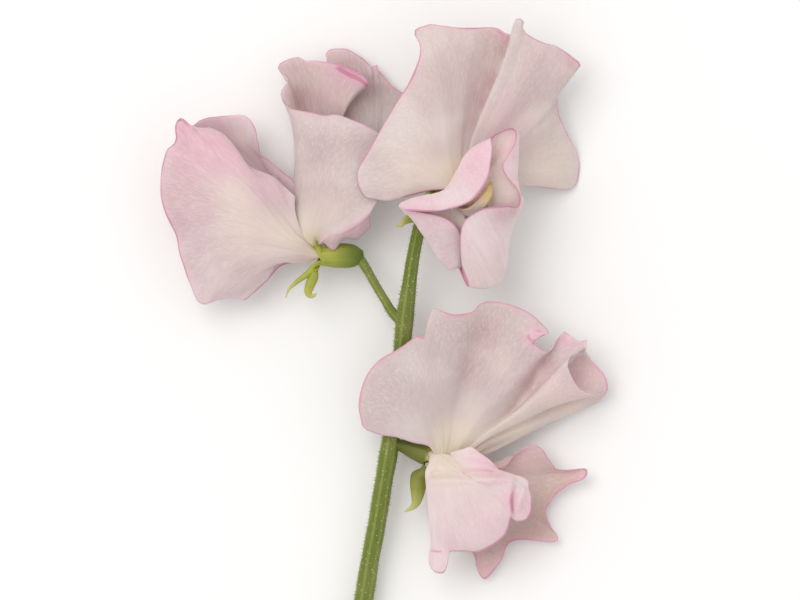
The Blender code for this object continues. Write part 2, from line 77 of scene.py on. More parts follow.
def linear(hex_colour):
    """An sRGB hex colour as the linear RGBA that a shader reads."""
    channels = [int(hex_colour[start:start + 2], 16) / 255.0 for start in (1, 3, 5)]
    return tuple(
        value / 12.92 if value <= 0.04045 else ((value + 0.055) / 1.055) ** 2.4
        for value in channels
    ) + (1.0,)


def scale_for(size):
    """The scale of a pattern on Object coordinates whose marks are this many mm apart."""
    return 1.0 / (size * MM)


def add_node(tree, kind, inputs=None, **settings):
    """One node with its settings, its fixed values and its links."""
    node = tree.nodes.new(kind)
    for name, value in settings.items():
        setattr(node, name, value)
    for socket, value in (inputs or {}).items():
        if isinstance(value, bpy.types.NodeSocket):
            tree.links.new(value, node.inputs[socket])
        else:
            node.inputs[socket].default_value = value
    return node


def new_material(name):
    """An empty node material and its output node."""
    material = bpy.data.materials.new(name)
    material.use_nodes = True
    tree = material.node_tree
    tree.nodes.clear()
    return material, tree, tree.nodes.new("ShaderNodeOutputMaterial")


# Matt white laminate: very faint mottling, no gloss.
table_paint, tree, output = new_material("matt white laminate")
spot = add_node(tree, "ShaderNodeTexCoord")
mottle = add_node(
    tree, "ShaderNodeTexNoise",
    {"Vector": spot.outputs["Object"], "Scale": scale_for(TABLE_MOTTLE_SIZE)},
)
tone = add_node(
    tree, "ShaderNodeMapRange", {"Value": mottle.outputs[0], "To Max": TABLE_MOTTLE_SHARE},
)
white = add_node(
    tree, "ShaderNodeMix",
    {0: tone.outputs[0], 6: linear(TABLE_WHITE), 7: linear(TABLE_GREY)}, data_type="RGBA",
)
paint = add_node(
    tree, "ShaderNodeBsdfPrincipled", {"Base Color": white.outputs[2], **TABLE_FINISH},
)
tree.links.new(paint.outputs[0], output.inputs[0])

table_mesh = bpy.data.meshes.new("table")
half = TABLE_SIZE * MM / 2.0
table_mesh.from_pydata(
    [(-half, -half, 0.0), (half, -half, 0.0), (half, half, 0.0), (-half, half, 0.0)],
    [], [(0, 1, 2, 3)],
)
table_mesh.materials.append(table_paint)
table = bpy.data.objects.new("table", table_mesh)
bpy.context.scene.collection.objects.link(table)

surround = bpy.data.worlds.new("pale surround")
surround.use_nodes = True
backdrop = surround.node_tree.nodes["Background"]
backdrop.inputs["Color"].default_value = linear(SURROUND_WHITE)
backdrop.inputs["Strength"].default_value = SURROUND_STRENGTH
bpy.context.scene.world = surround

diffuser_light = bpy.data.lights.new("diffuser", "AREA")
diffuser_light.shape = "SQUARE"
diffuser_light.size = DIFFUSER_SIZE * MM
diffuser_light.energy = DIFFUSER_WATTS
diffuser_light.color = linear(DIFFUSER_WHITE)[:3]
diffuser = bpy.data.objects.new("diffuser", diffuser_light)
diffuser.location = place(DIFFUSER_SPOT)
diffuser.rotation_euler = (
    (Vector(place((0.0, 0.0, BLOSSOM_HEIGHT))) - diffuser.location)
    .to_track_quat("-Z", "Y").to_euler()
)
diffuser.visible_camera = False
bpy.context.scene.collection.objects.link(diffuser)

camera_data = bpy.data.cameras.new("camera")
camera_data.sensor_width = SENSOR_WIDTH
camera_data.lens = SENSOR_WIDTH * CAMERA_HEIGHT / VIEW_WIDTH
camera = bpy.data.objects.new("camera", camera_data)
camera.location = place((0.0, 0.0, BLOSSOM_HEIGHT + CAMERA_HEIGHT))
bpy.context.scene.collection.objects.link(camera)
bpy.context.scene.camera = camera
bpy.context.scene.view_settings.view_transform = "Standard"

# ----------------------------------------------------------------------------------------
# Stem and flower stalks. One grown green shoot: a ribbed main stem with a clean cut at its
# foot, and two thinner stalks that leave it where it swells a little.
STEM_SIDES = 40
STEM_RINGS = 420
STALK_SIDES = 24
STALK_RINGS = 90
RIBS = 7
RIB_HEIGHT = 0.035
STEM_SWELL = 0.03
SWELL_WAVES = (0.55, 0.23)
CUT_BEVEL = 0.18
CUT_BULGE = 0.05
# Midlines as (x, y, z, radius), from the foot upwards.
STEM_MIDLINE = [
    (-11.0, -82.0, 1.9, 2.0), (-9.2, -71.0, 3.1, 1.95), (-7.3, -60.0, 4.2, 1.9),
    (-6.1, -52.5, 4.9, 1.84), (-4.7, -45.0, 5.6, 1.8), (-3.4, -37.0, 6.4, 1.76),
    (-2.3, -30.6, 7.0, 1.86), (-1.4, -24.0, 7.5, 1.66), (-0.4, -16.0, 8.1, 1.64),
    (0.3, -10.0, 8.6, 1.66), (0.9, -4.0, 9.0, 1.78), (1.4, 0.0, 9.3, 1.56),
    (2.5, 8.0, 10.0, 1.32), (3.7, 14.0, 10.9, 1.25), (4.5, 17.0, 11.9, 1.05),
    (5.2, 18.7, 13.0, 0.95), (5.8, 19.4, 13.7, 0.9),
]
LEFT_STALK_MIDLINE = [
    (1.2, -5.4, 9.0, 1.0), (-0.2, -4.0, 9.1, 1.0), (-1.8, -2.2, 9.2, 0.94),
    (-3.1, 0.0, 9.2, 0.88), (-4.7, 2.6, 9.0, 0.86), (-6.3, 5.4, 8.8, 0.9),
    (-7.6, 7.5, 8.6, 1.0), (-8.8, 8.9, 8.5, 1.1),
]
LOWER_STALK_MIDLINE = [
    (-2.6, -28.2, 7.0, 1.2), (-1.4, -28.5, 7.1, 1.1), (-0.4, -28.9, 7.2, 1.0),
    (0.6, -29.3, 7.5, 0.95), (1.6, -29.7, 7.7, 0.9),
]
STEM_GREEN = "#6B7A26"
STEM_RIB_LIGHT = "#8C9646"
STEM_HOLLOW_DARK = "#566420"
STEM_YELLOW = "#97914F"
STEM_SPECKLE = "#C9CF9C"
# Fibres are 34 round the stem and nearly 3 mm long; patches are 6 mm wide and the feet of
# the hairs 0.8 mm apart.
FIBRES_ROUND = 34.0
FIBRES_PER_MM = 0.35
STEM_PATCH_SIZE = 6.25
HAIR_FOOT_SPACING = 0.8
FIBRE_GRAIN = {"Scale": 1.0, "Detail": 3.0, "Roughness": 0.6}
HOLLOW_RANGE = {"From Min": 0.4, "From Max": 0.7, "To Max": 0.7}
RIB_RANGE = {"From Min": 0.1, "To Max": 0.55}
YELLOW_RANGE = {"From Min": 0.45, "From Max": 0.75, "To Max": 0.45}
SPECKLE_RANGE = {"From Min": 0.12, "From Max": 0.2, "To Min": 0.75, "To Max": 0.0}
FIBRE_RELIEF = 0.5
STEM_RELIEF = {"Strength": 0.5, "Distance": 0.12 * MM}
STEM_FINISH = {
    "Roughness": 0.42, "Specular IOR Level": 0.4, "Subsurface Weight": 0.12,
    "Subsurface Radius": (0.6, 1.0, 0.3), "Subsurface Scale": 0.8 * MM,
}


def through(points, places):
    """A smooth line through the points (Catmull-Rom), read at places along it, 0 to n - 1."""
    points = np.asarray(points, float)
    ends = np.concatenate([
        [2.0 * points[0] - points[1]], points, [2.0 * points[-1] - points[-2]],
    ])
    places = np.clip(np.asarray(places, float), 0.0, len(points) - 1.000001)
    first = places.astype(int)
    step = (places - first).reshape((-1,) + (1,) * (points.ndim - 1))
    a, b, c, d = (ends[first + shift] for shift in range(4))
    return 0.5 * (
        2.0 * b + (c - a) * step + (2.0 * a - 5.0 * b + 4.0 * c - d) * step ** 2
        + (3.0 * b - a - 3.0 * c + d) * step ** 3
    )


def unit(vectors):
    """The vectors with length 1."""
    lengths = np.linalg.norm(vectors, axis=-1, keepdims=True)
    return vectors / np.maximum(lengths, 1e-12)


def ring_faces(ring, sides, clockwise=False):
    """The band of faces from one ring of points to the next."""
    low, high = ring * sides, (ring + 1) * sides
    pairs = [(spot, (spot + 1) % sides) for spot in range(sides)]
    if clockwise:
        pairs = [(after, spot) for spot, after in pairs]
    return [(low + one, low + next_one, high + next_one, high + one) for one, next_one in pairs]


def piece_from(name, points, faces, material, uv_name, uv):
    """A smooth mesh piece from points in metres, its faces, and one UV per point."""
    mesh = bpy.data.meshes.new(name)
    mesh.from_pydata([tuple(point) for point in points], [], faces)
    layer = mesh.uv_layers.new(name=uv_name)
    corners = np.empty(len(mesh.loops), int)
    mesh.loops.foreach_get("vertex_index", corners)
    layer.data.foreach_set("uv", np.asarray(uv, np.float32)[corners].ravel())
    mesh.materials.append(material)
    mesh.shade_smooth()
    piece = bpy.data.objects.new(name, mesh)
    bpy.context.scene.collection.objects.link(piece)
    return piece


def plain_mesh(piece):
    """The piece's mesh with its modifiers worked in, as a mesh of its own."""
    graph = bpy.context.evaluated_depsgraph_get()
    return bpy.data.meshes.new_from_object(piece.evaluated_get(graph))


def shoot(name, midline, sides, rings, cut_end):
    """A ribbed tube along a midline of (x, y, z, radius), closed at both ends."""
    line = through(midline, np.linspace(0.0, len(midline) - 1.0, rings))
    middle, radius = line[:, :3], line[:, 3].copy()
    forward = unit(np.gradient(middle, axis=0))
    side = unit(np.cross(forward, (0.0, 0.0, 1.0)))
    up = np.cross(side, forward)
    length = np.concatenate([[0.0], np.cumsum(np.linalg.norm(np.diff(middle, axis=0), axis=1))])
    quick, slow = SWELL_WAVES
    radius *= 1.0 + STEM_SWELL * np.sin(length * quick) * np.sin(length * slow + 1.0)
    if cut_end:
        radius[0] -= CUT_BEVEL
    turn = np.linspace(0.0, math.tau, sides, endpoint=False)
    rim = radius[:, None] * (1.0 + RIB_HEIGHT * np.cos(RIBS * turn))
    points = (
        middle[:, None, :]
        + side[:, None, :] * (rim * np.cos(turn))[..., None]
        + up[:, None, :] * (rim * np.sin(turn))[..., None]
    ).reshape(-1, 3)
    uv = np.stack(
        np.broadcast_arrays((turn / math.tau)[None, :], length[:, None]), axis=-1,
    ).reshape(-1, 2)
    faces = [face for ring in range(rings - 1) for face in ring_faces(ring, sides, clockwise=True)]
    points = np.concatenate([points, middle[:1] - forward[:1] * CUT_BULGE, middle[-1:]])
    uv = np.concatenate([uv, [(0.5, -1.0)], [(0.5, length[-1])]])
    foot, tip = len(points) - 2, len(points) - 1
    last = (rings - 1) * sides
    for spot in range(sides):
        after = (spot + 1) % sides
        faces.append((foot, spot, after))
        faces.append((tip, last + after, last + spot))
    return piece_from(name, place(points), faces, stem_skin, "Stem", uv)


# Living stem skin: a waxy, slightly glossy green rind, paler along its ribs and dotted with
# the swollen feet of its hairs. The dots are drawn larger than real ones so that they show.
stem_skin, tree, output = new_material("sweet pea stem skin")
stem_uv = add_node(tree, "ShaderNodeUVMap", uv_map="Stem")
spot = add_node(tree, "ShaderNodeTexCoord")
across = add_node(tree, "ShaderNodeSeparateXYZ", {0: stem_uv.outputs[0]})
rib_turn = add_node(
    tree, "ShaderNodeMath", {0: across.outputs["X"], 1: math.tau * RIBS}, operation="MULTIPLY",
)
rib_wave = add_node(tree, "ShaderNodeMath", {0: rib_turn.outputs[0]}, operation="COSINE")
fibre_map = add_node(
    tree, "ShaderNodeMapping",
    {"Vector": stem_uv.outputs[0], "Scale": (FIBRES_ROUND, FIBRES_PER_MM, 1.0)},
)
fibre = add_node(tree, "ShaderNodeTexNoise", {"Vector": fibre_map.outputs[0], **FIBRE_GRAIN})
patch = add_node(
    tree, "ShaderNodeTexNoise",
    {"Vector": spot.outputs["Object"], "Scale": scale_for(STEM_PATCH_SIZE), "Detail": 2.0},
)
dots = add_node(
    tree, "ShaderNodeTexVoronoi",
    {"Vector": spot.outputs["Object"], "Scale": scale_for(HAIR_FOOT_SPACING)},
)
colour = linear(STEM_GREEN)
for value, limits, tint in (
    (fibre.outputs[0], HOLLOW_RANGE, STEM_HOLLOW_DARK),
    (rib_wave.outputs[0], RIB_RANGE, STEM_RIB_LIGHT),
    (patch.outputs[0], YELLOW_RANGE, STEM_YELLOW),
    (dots.outputs["Distance"], SPECKLE_RANGE, STEM_SPECKLE),
):
    share = add_node(tree, "ShaderNodeMapRange", {"Value": value, **limits})
    layer = add_node(
        tree, "ShaderNodeMix", {0: share.outputs[0], 6: colour, 7: linear(tint)},
        data_type="RGBA",
    )
    colour = layer.outputs[2]
relief = add_node(
    tree, "ShaderNodeMath", {0: fibre.outputs[0], 1: FIBRE_RELIEF, 2: share.outputs[0]},
    operation="MULTIPLY_ADD",
)
bump = add_node(tree, "ShaderNodeBump", {"Height": relief.outputs[0], **STEM_RELIEF})
rind = add_node(
    tree, "ShaderNodeBsdfPrincipled",
    {"Base Color": colour, "Normal": bump.outputs[0], **STEM_FINISH},
)
tree.links.new(rind.outputs[0], output.inputs[0])

stem = shoot("stem", STEM_MIDLINE, STEM_SIDES, STEM_RINGS, cut_end=True)
stalks = [
    shoot(f"{flower} stalk", midline, STALK_SIDES, STALK_RINGS, cut_end=False)
    for flower, midline in (("left", LEFT_STALK_MIDLINE), ("lower", LOWER_STALK_MIDLINE))
]
for stalk in stalks:
    grown = stem.modifiers.new("grown together", "BOOLEAN")
    grown.operation = "UNION"
    grown.solver = "EXACT"
    grown.object = stalk
grown_mesh = plain_mesh(stem)
stem.modifiers.clear()
stem.data = grown_mesh
for stalk in stalks:
    bpy.data.objects.remove(stalk)
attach(stem, "root")
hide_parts("flower_stem")

# ----------------------------------------------------------------------------------------
# Stem hairs. Short soft hairs stand on the stem and the stalks, each a tapering
# spike; they are drawn 0.12 mm thick at the foot so that they show.
HAIR_LENGTH = 0.5
HAIR_RADIUS = 0.06
HAIR_SPACING = 0.5
HAIR_SIDES = 4
HAIR_LEAN = 0.5
HAIR_CROWDING = 1.6
HAIR_SIZES = (0.55, 1.25)
HAIR_SEED = 7
HAIR_PALE = "#A9B678"
HAIR_DEEP = "#7F8F45"
HAIR_TINT_SIZE = 1.11
HAIR_FINISH = {"Roughness": 0.35, "Subsurface Weight": 0.3, "Subsurface Scale": 0.4 * MM}

# Plant hair: glassy and pale, lit through.
hair_cell, tree, output = new_material("plant hair")
spot = add_node(tree, "ShaderNodeTexCoord")
tint = add_node(
    tree, "ShaderNodeTexNoise",
    {"Vector": spot.outputs["Object"], "Scale": scale_for(HAIR_TINT_SIZE)},
)
pale = add_node(
    tree, "ShaderNodeMix",
    {0: tint.outputs[0], 6: linear(HAIR_PALE), 7: linear(HAIR_DEEP)}, data_type="RGBA",
)
hair_shader = add_node(
    tree, "ShaderNodeBsdfPrincipled", {"Base Color": pale.outputs[2], **HAIR_FINISH},
)
tree.links.new(hair_shader.outputs[0], output.inputs[0])


def hair_tree(name):
    """Geometry Nodes: hairs set at random all over a skin, standing out from it."""
    group = bpy.data.node_groups.new(name, "GeometryNodeTree")
    interface = group.interface
    interface.new_socket("Skin", in_out="INPUT", socket_type="NodeSocketGeometry")
    for label, value in (
        ("Spacing", HAIR_SPACING * MM), ("Length", HAIR_LENGTH * MM),
        ("Radius", HAIR_RADIUS * MM), ("Lean", HAIR_LEAN),
    ):
        socket = interface.new_socket(label, in_out="INPUT", socket_type="NodeSocketFloat")
        socket.default_value = value
    seed = interface.new_socket("Seed", in_out="INPUT", socket_type="NodeSocketInt")
    seed.default_value = HAIR_SEED
    interface.new_socket("Hairs", in_out="OUTPUT", socket_type="NodeSocketGeometry")
    given = add_node(group, "NodeGroupInput").outputs
    density = add_node(
        group, "ShaderNodeMath", {0: HAIR_CROWDING, 1: given["Spacing"]}, operation="DIVIDE",
    )
    density_area = add_node(
        group, "ShaderNodeMath", {0: density.outputs[0], 1: given["Spacing"]},
        operation="DIVIDE",
    )
    feet = add_node(
        group, "GeometryNodeDistributePointsOnFaces",
        {"Mesh": given["Skin"], "Distance Min": given["Spacing"],
         "Density Max": density_area.outputs[0], "Seed": given["Seed"]},
        distribute_method="POISSON",
    )
    spike = add_node(
        group, "GeometryNodeMeshCone",
        {"Vertices": HAIR_SIDES, "Radius Top": 0.0, "Radius Bottom": given["Radius"],
         "Depth": given["Length"]},
        fill_type="NGON",
    )
    back = add_node(
        group, "ShaderNodeMath", {0: given["Lean"], 1: -1.0}, operation="MULTIPLY",
    )
    lean_low, lean_high = (
        add_node(group, "ShaderNodeCombineXYZ", {0: limit, 1: limit, 2: limit})
        for limit in (back.outputs[0], given["Lean"])
    )
    lean = add_node(
        group, "FunctionNodeRandomValue",
        {0: lean_low.outputs[0], 1: lean_high.outputs[0], "Seed": given["Seed"]},
        data_type="FLOAT_VECTOR",
    )
    aim = add_node(
        group, "ShaderNodeVectorMath", {0: feet.outputs["Normal"], 1: lean.outputs[0]},
        operation="ADD",
    )
    stand = add_node(
        group, "FunctionNodeAlignRotationToVector", {"Vector": aim.outputs[0]}, axis="Z",
    )
    smallest, largest = HAIR_SIZES
    size = add_node(
        group, "FunctionNodeRandomValue", {2: smallest, 3: largest, "Seed": given["Seed"]},
        data_type="FLOAT",
    )
    hairs = add_node(
        group, "GeometryNodeInstanceOnPoints",
        {"Points": feet.outputs["Points"], "Instance": spike.outputs["Mesh"],
         "Rotation": stand.outputs[0], "Scale": size.outputs[1]},
    )
    real = add_node(group, "GeometryNodeRealizeInstances", {"Geometry": hairs.outputs[0]})
    finish = add_node(
        group, "GeometryNodeSetMaterial", {"Geometry": real.outputs[0], "Material": hair_cell},
    )
    add_node(group, "NodeGroupOutput", {"Hairs": finish.outputs[0]})
    return group


def grow_hairs(name, skin, spacing, length, seed):
    """Hairs on one skin, as a plain mesh piece of their own."""
    hairs = bpy.data.objects.new(name, skin.data.copy())
    bpy.context.scene.collection.objects.link(hairs)
    growth = hairs.modifiers.new("hairs", "NODES")
    growth.node_group = hair_tree(name)
    sockets = {item.name: item.identifier for item in growth.node_group.interface.items_tree}
    growth[sockets["Spacing"]] = spacing * MM
    growth[sockets["Length"]] = length * MM
    growth[sockets["Seed"]] = seed
    grown = plain_mesh(hairs)
    hairs.modifiers.clear()
    hairs.data = grown
    grown.shade_smooth()
    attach(hairs, "root")
    return hairs


stem_hairs = grow_hairs("stem_hairs", stem, HAIR_SPACING, HAIR_LENGTH, HAIR_SEED)

# ----------------------------------------------------------------------------------------
# Calyx cups. Each blossom grows out of a green cup of five joined sepals whose free tips
# are pointed teeth; some lie against the petals and some are bent back with curled tips.
CUP_WALL = 0.28
CUP_RINGS = 26
CUP_RIB_HEIGHT = 0.05
CUP_FOOT_BULGE = 0.1
TEETH = 5
TOOTH_COLUMNS = 8
TOOTH_ROWS = 22
TOOTH_BLEND = 0.3
TOOTH_CUPPING = 0.35
TOOTH_BELLY = 0.35
TOOTH_TAPER = 0.75
TOOTH_TIP = 0.06
TOOTH_NARROWING = 0.45
TOOTH_LEVELLING = 0.02
SHORT_TOOTH_LEAN = 0.1
SHORT_TOOTH_STEPS = (0.35, 0.7, 1.0)
CALYX_HAIR_SPACING = 0.75
CALYX_HAIR_LENGTH = 0.32
# Each cup has the middles of its base and its mouth, the turn of its first tooth in
# degrees, its radii from base to mouth, the length of a short tooth, how ripe and dark its
# skin is, and its long teeth by number as (half width, faces the eye, midline).
CUPS = {
    "left": {
        "base": (-7.5, 8.8, 8.4), "mouth": (-15.9, 9.0, 8.9), "first_tooth": 4,
        "radii": (0.95, 1.95, 2.3, 2.35, 2.3, 2.15, 1.95), "short_tooth": 1.0,
        "ripe": 0.08,
        "teeth": {
            0: (0.75, False, [(-16.4, 10.6, 11.0), (-16.9, 11.6, 11.8), (-17.1, 12.6, 12.6)]),
            4: (0.6, True, [(-17.0, 6.8, 10.0), (-18.6, 5.2, 10.4), (-20.6, 3.7, 10.4),
                             (-22.2, 2.2, 10.1), (-22.9, 0.5, 9.8)]),
            3: (1.0, True, [(-16.7, 6.4, 9.6), (-17.4, 4.6, 10.2), (-18.1, 2.8, 10.5),
                             (-18.4, 1.6, 10.4), (-18.0, 0.9, 10.2), (-17.2, 0.9, 10.2),
                             (-16.7, 1.4, 10.2)]),
        },
    },
    "upper": {
        "base": (5.9, 19.1, 13.8), "mouth": (8.8, 20.1, 15.5), "first_tooth": 54,
        "radii": (0.95, 1.7, 2.1, 2.35, 2.45, 2.45, 2.4), "short_tooth": 1.4,
        "ripe": 0.45,
        "teeth": {
            1: (1.1, True, [(6.8, 17.2, 14.6), (4.6, 16.7, 14.8), (2.4, 16.4, 15.2),
                            (1.0, 15.8, 15.6), (0.2, 15.0, 15.8), (-0.8, 14.9, 16.0)]),
            3: (1.1, False, [(8.4, 22.6, 16.0), (7.2, 22.3, 16.4), (5.8, 21.6, 16.6),
                             (4.6, 20.9, 16.8)]),
        },
    },
    "lower": {
        "base": (-0.6, -28.9, 7.3), "mouth": (5.4, -31.0, 8.6), "first_tooth": 18,
        "radii": (0.85, 1.1, 1.35, 1.6, 1.8, 1.95, 2.0), "short_tooth": 0.9,
        "ripe": 0.85,
        "teeth": {
            1: (1.8, True, [(4.3, -34.2, 9.2), (3.7, -36.6, 9.8), (3.5, -39.2, 9.9),
                            (2.9, -41.2, 9.6), (0.9, -42.5, 9.2)]),
        },
    },
}
CALYX_GREEN = "#86963A"
CALYX_DARK = "#4F6420"
CALYX_YELLOW = "#B4B247"
CALYX_TIP = "#C9C48A"
CALYX_RIPE = "#5C6022"
RIPE_FADE = 0.75
# Veins run from base to tip, 60 round the cup; blotches are about 2.4 mm wide.
VEINS_ROUND = 60.0
VEIN_STRETCH = 1.6
BLOTCH_SIZE = 2.38
VEIN_GRAIN = {"Scale": 1.0, "Detail": 3.0, "Roughness": 0.6}
AGE_RANGE = {"From Max": 1.0}
BLOTCH_RANGE = {"From Min": 0.4, "From Max": 0.7, "To Max": 0.6}
VEIN_RANGE = {"From Min": 0.44, "From Max": 0.72, "To Max": 0.35}
TIP_RANGE = {"From Min": 1.5, "From Max": 2.0, "To Max": 0.8}
SEPAL_RELIEF = {"Strength": 0.5, "Distance": 0.1 * MM}
SEPAL_FINISH = {
    "Roughness": 0.48, "Specular IOR Level": 0.35, "Subsurface Weight": 0.15,
    "Subsurface Radius": (0.6, 1.0, 0.3), "Subsurface Scale": 0.6 * MM,
}

# Sepal skin: soft leaf tissue, yellow-green where it is young at the mouth, darker towards
# the stalk, with fine lengthwise veins and a dull wax bloom.
sepal_skin, tree, output = new_material("sweet pea sepal")
cup_uv = add_node(tree, "ShaderNodeUVMap", uv_map="Calyx")
spot = add_node(tree, "ShaderNodeTexCoord")
along = add_node(tree, "ShaderNodeSeparateXYZ", {0: cup_uv.outputs[0]})
vein_map = add_node(
    tree, "ShaderNodeMapping",
    {"Vector": cup_uv.outputs[0], "Scale": (VEINS_ROUND, VEIN_STRETCH, 1.0)},
)
veins = add_node(tree, "ShaderNodeTexNoise", {"Vector": vein_map.outputs[0], **VEIN_GRAIN})
blotch = add_node(
    tree, "ShaderNodeTexNoise",
    {"Vector": spot.outputs["Object"], "Scale": scale_for(BLOTCH_SIZE), "Detail": 3.0},
)
ripe_share = add_node(tree, "ShaderNodeAttribute", attribute_name="ripe")
age, blotch_share, vein_share, tip = (
    add_node(
        tree, "ShaderNodeMapRange", {"Value": value, **limits}, interpolation_type=easing,
    ).outputs[0]
    for value, limits, easing in (
        (along.outputs["Y"], AGE_RANGE, "SMOOTHSTEP"),
        (blotch.outputs[0], BLOTCH_RANGE, "LINEAR"),
        (veins.outputs[0], VEIN_RANGE, "LINEAR"),
        (along.outputs["Y"], TIP_RANGE, "LINEAR"),
    )
)
colour = linear(CALYX_DARK)
for share, tint in (
    (age, CALYX_YELLOW), (blotch_share, CALYX_GREEN), (vein_share, CALYX_DARK),
    (ripe_share.outputs["Fac"], CALYX_RIPE), (tip, CALYX_TIP),
):
    layer = add_node(
        tree, "ShaderNodeMix", {0: share, 6: colour, 7: linear(tint)}, data_type="RGBA",
    )
    colour = layer.outputs[2]
bump = add_node(tree, "ShaderNodeBump", {"Height": veins.outputs[0], **SEPAL_RELIEF})
sepal_shader = add_node(
    tree, "ShaderNodeBsdfPrincipled",
    {"Base Color": colour, "Normal": bump.outputs[0], **SEPAL_FINISH},
)
tree.links.new(sepal_shader.outputs[0], output.inputs[0])


def tooth_rows(rim_row, root, outer, axis, half_width, faces_eye, spine):
    """The rows of one tooth above its root on the rim, each with its share of the height."""
    steps = np.linspace(0.0, 1.0, TOOTH_ROWS + 1)
    centre = through([root] + [np.array(spot) for spot in spine], steps * len(spine))
    forward = unit(np.gradient(centre, axis=0))
    tangent = unit(np.cross(axis, outer))
    across = unit(tangent - forward * (forward @ tangent)[:, None])
    if faces_eye:
        level = unit(np.cross(forward, (0.0, 0.0, 1.0)))
        turn_in = np.clip(steps / TOOTH_BLEND, 0.0, 1.0)[:, None]
        across = unit(across * (1.0 - turn_in) + level * (turn_in + TOOTH_LEVELLING))
    raised = unit(np.cross(forward, across))
    offsets = np.linspace(-1.0, 1.0, TOOTH_COLUMNS + 1)
    rows = []
    for step in range(1, TOOTH_ROWS + 1):
        share = steps[step]
        blend = min(share / TOOTH_BLEND, 1.0)
        blend = blend * blend * (3.0 - 2.0 * blend)
        belly = 1.0 + TOOTH_BELLY * math.sin(math.pi * share)
        width = max(half_width * (1.0 - share) ** TOOTH_TAPER * belly, TOOTH_TIP)
        ribbon = (
            centre[step] + across[step] * (offsets * width)[:, None]
            + raised[step] * (TOOTH_CUPPING * width * offsets ** 2)[:, None]
        )
        narrowed = (
            root + (rim_row - root) * (1.0 - TOOTH_NARROWING * share) + centre[step] - root
        )
        rows.append((share, narrowed * (1.0 - blend) + ribbon * blend))
    return rows


def grow_calyx(name, cup):
    """A ribbed cup lofted along its axis, with five teeth grown on from its rim."""
    base, mouth = np.array(cup["base"]), np.array(cup["mouth"])
    axis = unit(mouth - base)
    up = unit(np.array((0.0, 0.0, 1.0)) - axis * axis[2])
    side = np.cross(axis, up)
    length = np.linalg.norm(mouth - base)
    sides = TEETH * TOOTH_COLUMNS
    tooth_turn = math.tau / TEETH
    start = math.radians(cup["first_tooth"]) - tooth_turn / 2.0
    turn = start + np.arange(sides) * math.tau / sides
    outward = np.cos(turn)[:, None] * up + np.sin(turn)[:, None] * side
    shares = np.linspace(0.0, 1.0, CUP_RINGS)
    radii = through(
        np.array(cup["radii"])[:, None], shares * (len(cup["radii"]) - 1),
    )[:, 0]
    ribbed = 1.0 + CUP_RIB_HEIGHT * np.cos((turn - start) * 2.0 * TEETH) / 2.0
    rings = (
        base + axis * (length * shares)[:, None, None]
        + outward[None] * (radii[:, None] * ribbed[None])[..., None]
    )
    points = list(rings.reshape(-1, 3))
    uv = [(column / sides, share) for share in shares for column in range(sides)]
    faces = [face for ring in range(CUP_RINGS - 1) for face in ring_faces(ring, sides)]
    points.append(base - axis * CUP_FOOT_BULGE)
    uv.append((0.5, 0.0))
    for column in range(sides):
        faces.append(((column + 1) % sides, column, len(points) - 1))
    for number in range(TEETH):
        middle_turn = start + tooth_turn * (number + 0.5)
        outer = math.cos(middle_turn) * up + math.sin(middle_turn) * side
        root = mouth + outer * radii[-1]
        short = cup["short_tooth"]
        short_tooth = (1.0, False, [
            root + axis * short * share + outer * short * SHORT_TOOTH_LEAN * share ** 2
            for share in SHORT_TOOTH_STEPS
        ])
        columns = [number * TOOTH_COLUMNS + step for step in range(TOOTH_COLUMNS + 1)]
        on_rim = [column % sides for column in columns]
        row = [(CUP_RINGS - 1) * sides + column for column in on_rim]
        tooth = cup["teeth"].get(number, short_tooth)
        for share, spots in tooth_rows(rings[-1][on_rim], root, outer, axis, *tooth):
            next_row = [len(points) + step for step in range(TOOTH_COLUMNS + 1)]
            points.extend(spots)
            uv.extend((column / sides, 1.0 + share) for column in columns)
            for step in range(TOOTH_COLUMNS):
                faces.append((row[step], row[step + 1], next_row[step + 1], next_row[step]))
            row = next_row
    calyx = piece_from(name, place(points), faces, sepal_skin, "Calyx", uv)
    ripe = calyx.data.attributes.new("ripe", "FLOAT", "POINT")
    ripe.data.foreach_set(
        "value", [cup["ripe"] * (1.0 - RIPE_FADE * max(height - 1.0, 0.0)) for _, height in uv],
    )
    wall = calyx.modifiers.new("sepal thickness", "SOLIDIFY")
    wall.thickness = CUP_WALL * MM
    wall.offset = 0.0
    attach(calyx, "root")
    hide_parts(f"{name.split('_')[0]}_calyx")
    return calyx


calyces = {flower: grow_calyx(f"{flower}_cup", cup) for flower, cup in CUPS.items()}
for number, (flower, calyx) in enumerate(calyces.items()):
    cup_hairs = grow_hairs(
        f"{flower}_cup_hairs", calyx, CALYX_HAIR_SPACING, CALYX_HAIR_LENGTH,
        HAIR_SEED + 1 + number,
    )

# ----------------------------------------------------------------------------------------
# Left blossom, standard. The back petal of the blossom that is seen from its side: folded
# along its midrib, its near lobe towards the eye, its far lobe rolled behind. Every petal
# is one thin sheet of tissue that narrows to a claw inside the calyx cup.
ALONG = 84
ACROSS = 120
PETAL_WALL = 0.3
MARGIN_WALL = 0.16
RIM_ROUNDING = 4
RIM_ROUNDNESS = 0.85
TABLE_GAP = 0.02
CLAW_DEPTH = 1.2
CLAW_SHARE = 0.75
CLAW_GUARD = 0.3
CLAW_GUARD_REACH = 40.0
MARGIN_PULL = 3.0
TURNED_START = 0.82
BARE_RIM = 5.0
# Net lines are shared out by the gaps between veins, each gap counted 0.8 mm wider so
# that a tight fold gets its lines too.
EVEN_SHARE = 0.8
# How far a net point is from a line or a patch counts its depth only in part.
LINE_STEPS = 60
DEPTH_SHARE = 0.4
GLOW_DEPTH_SHARE = 0.6
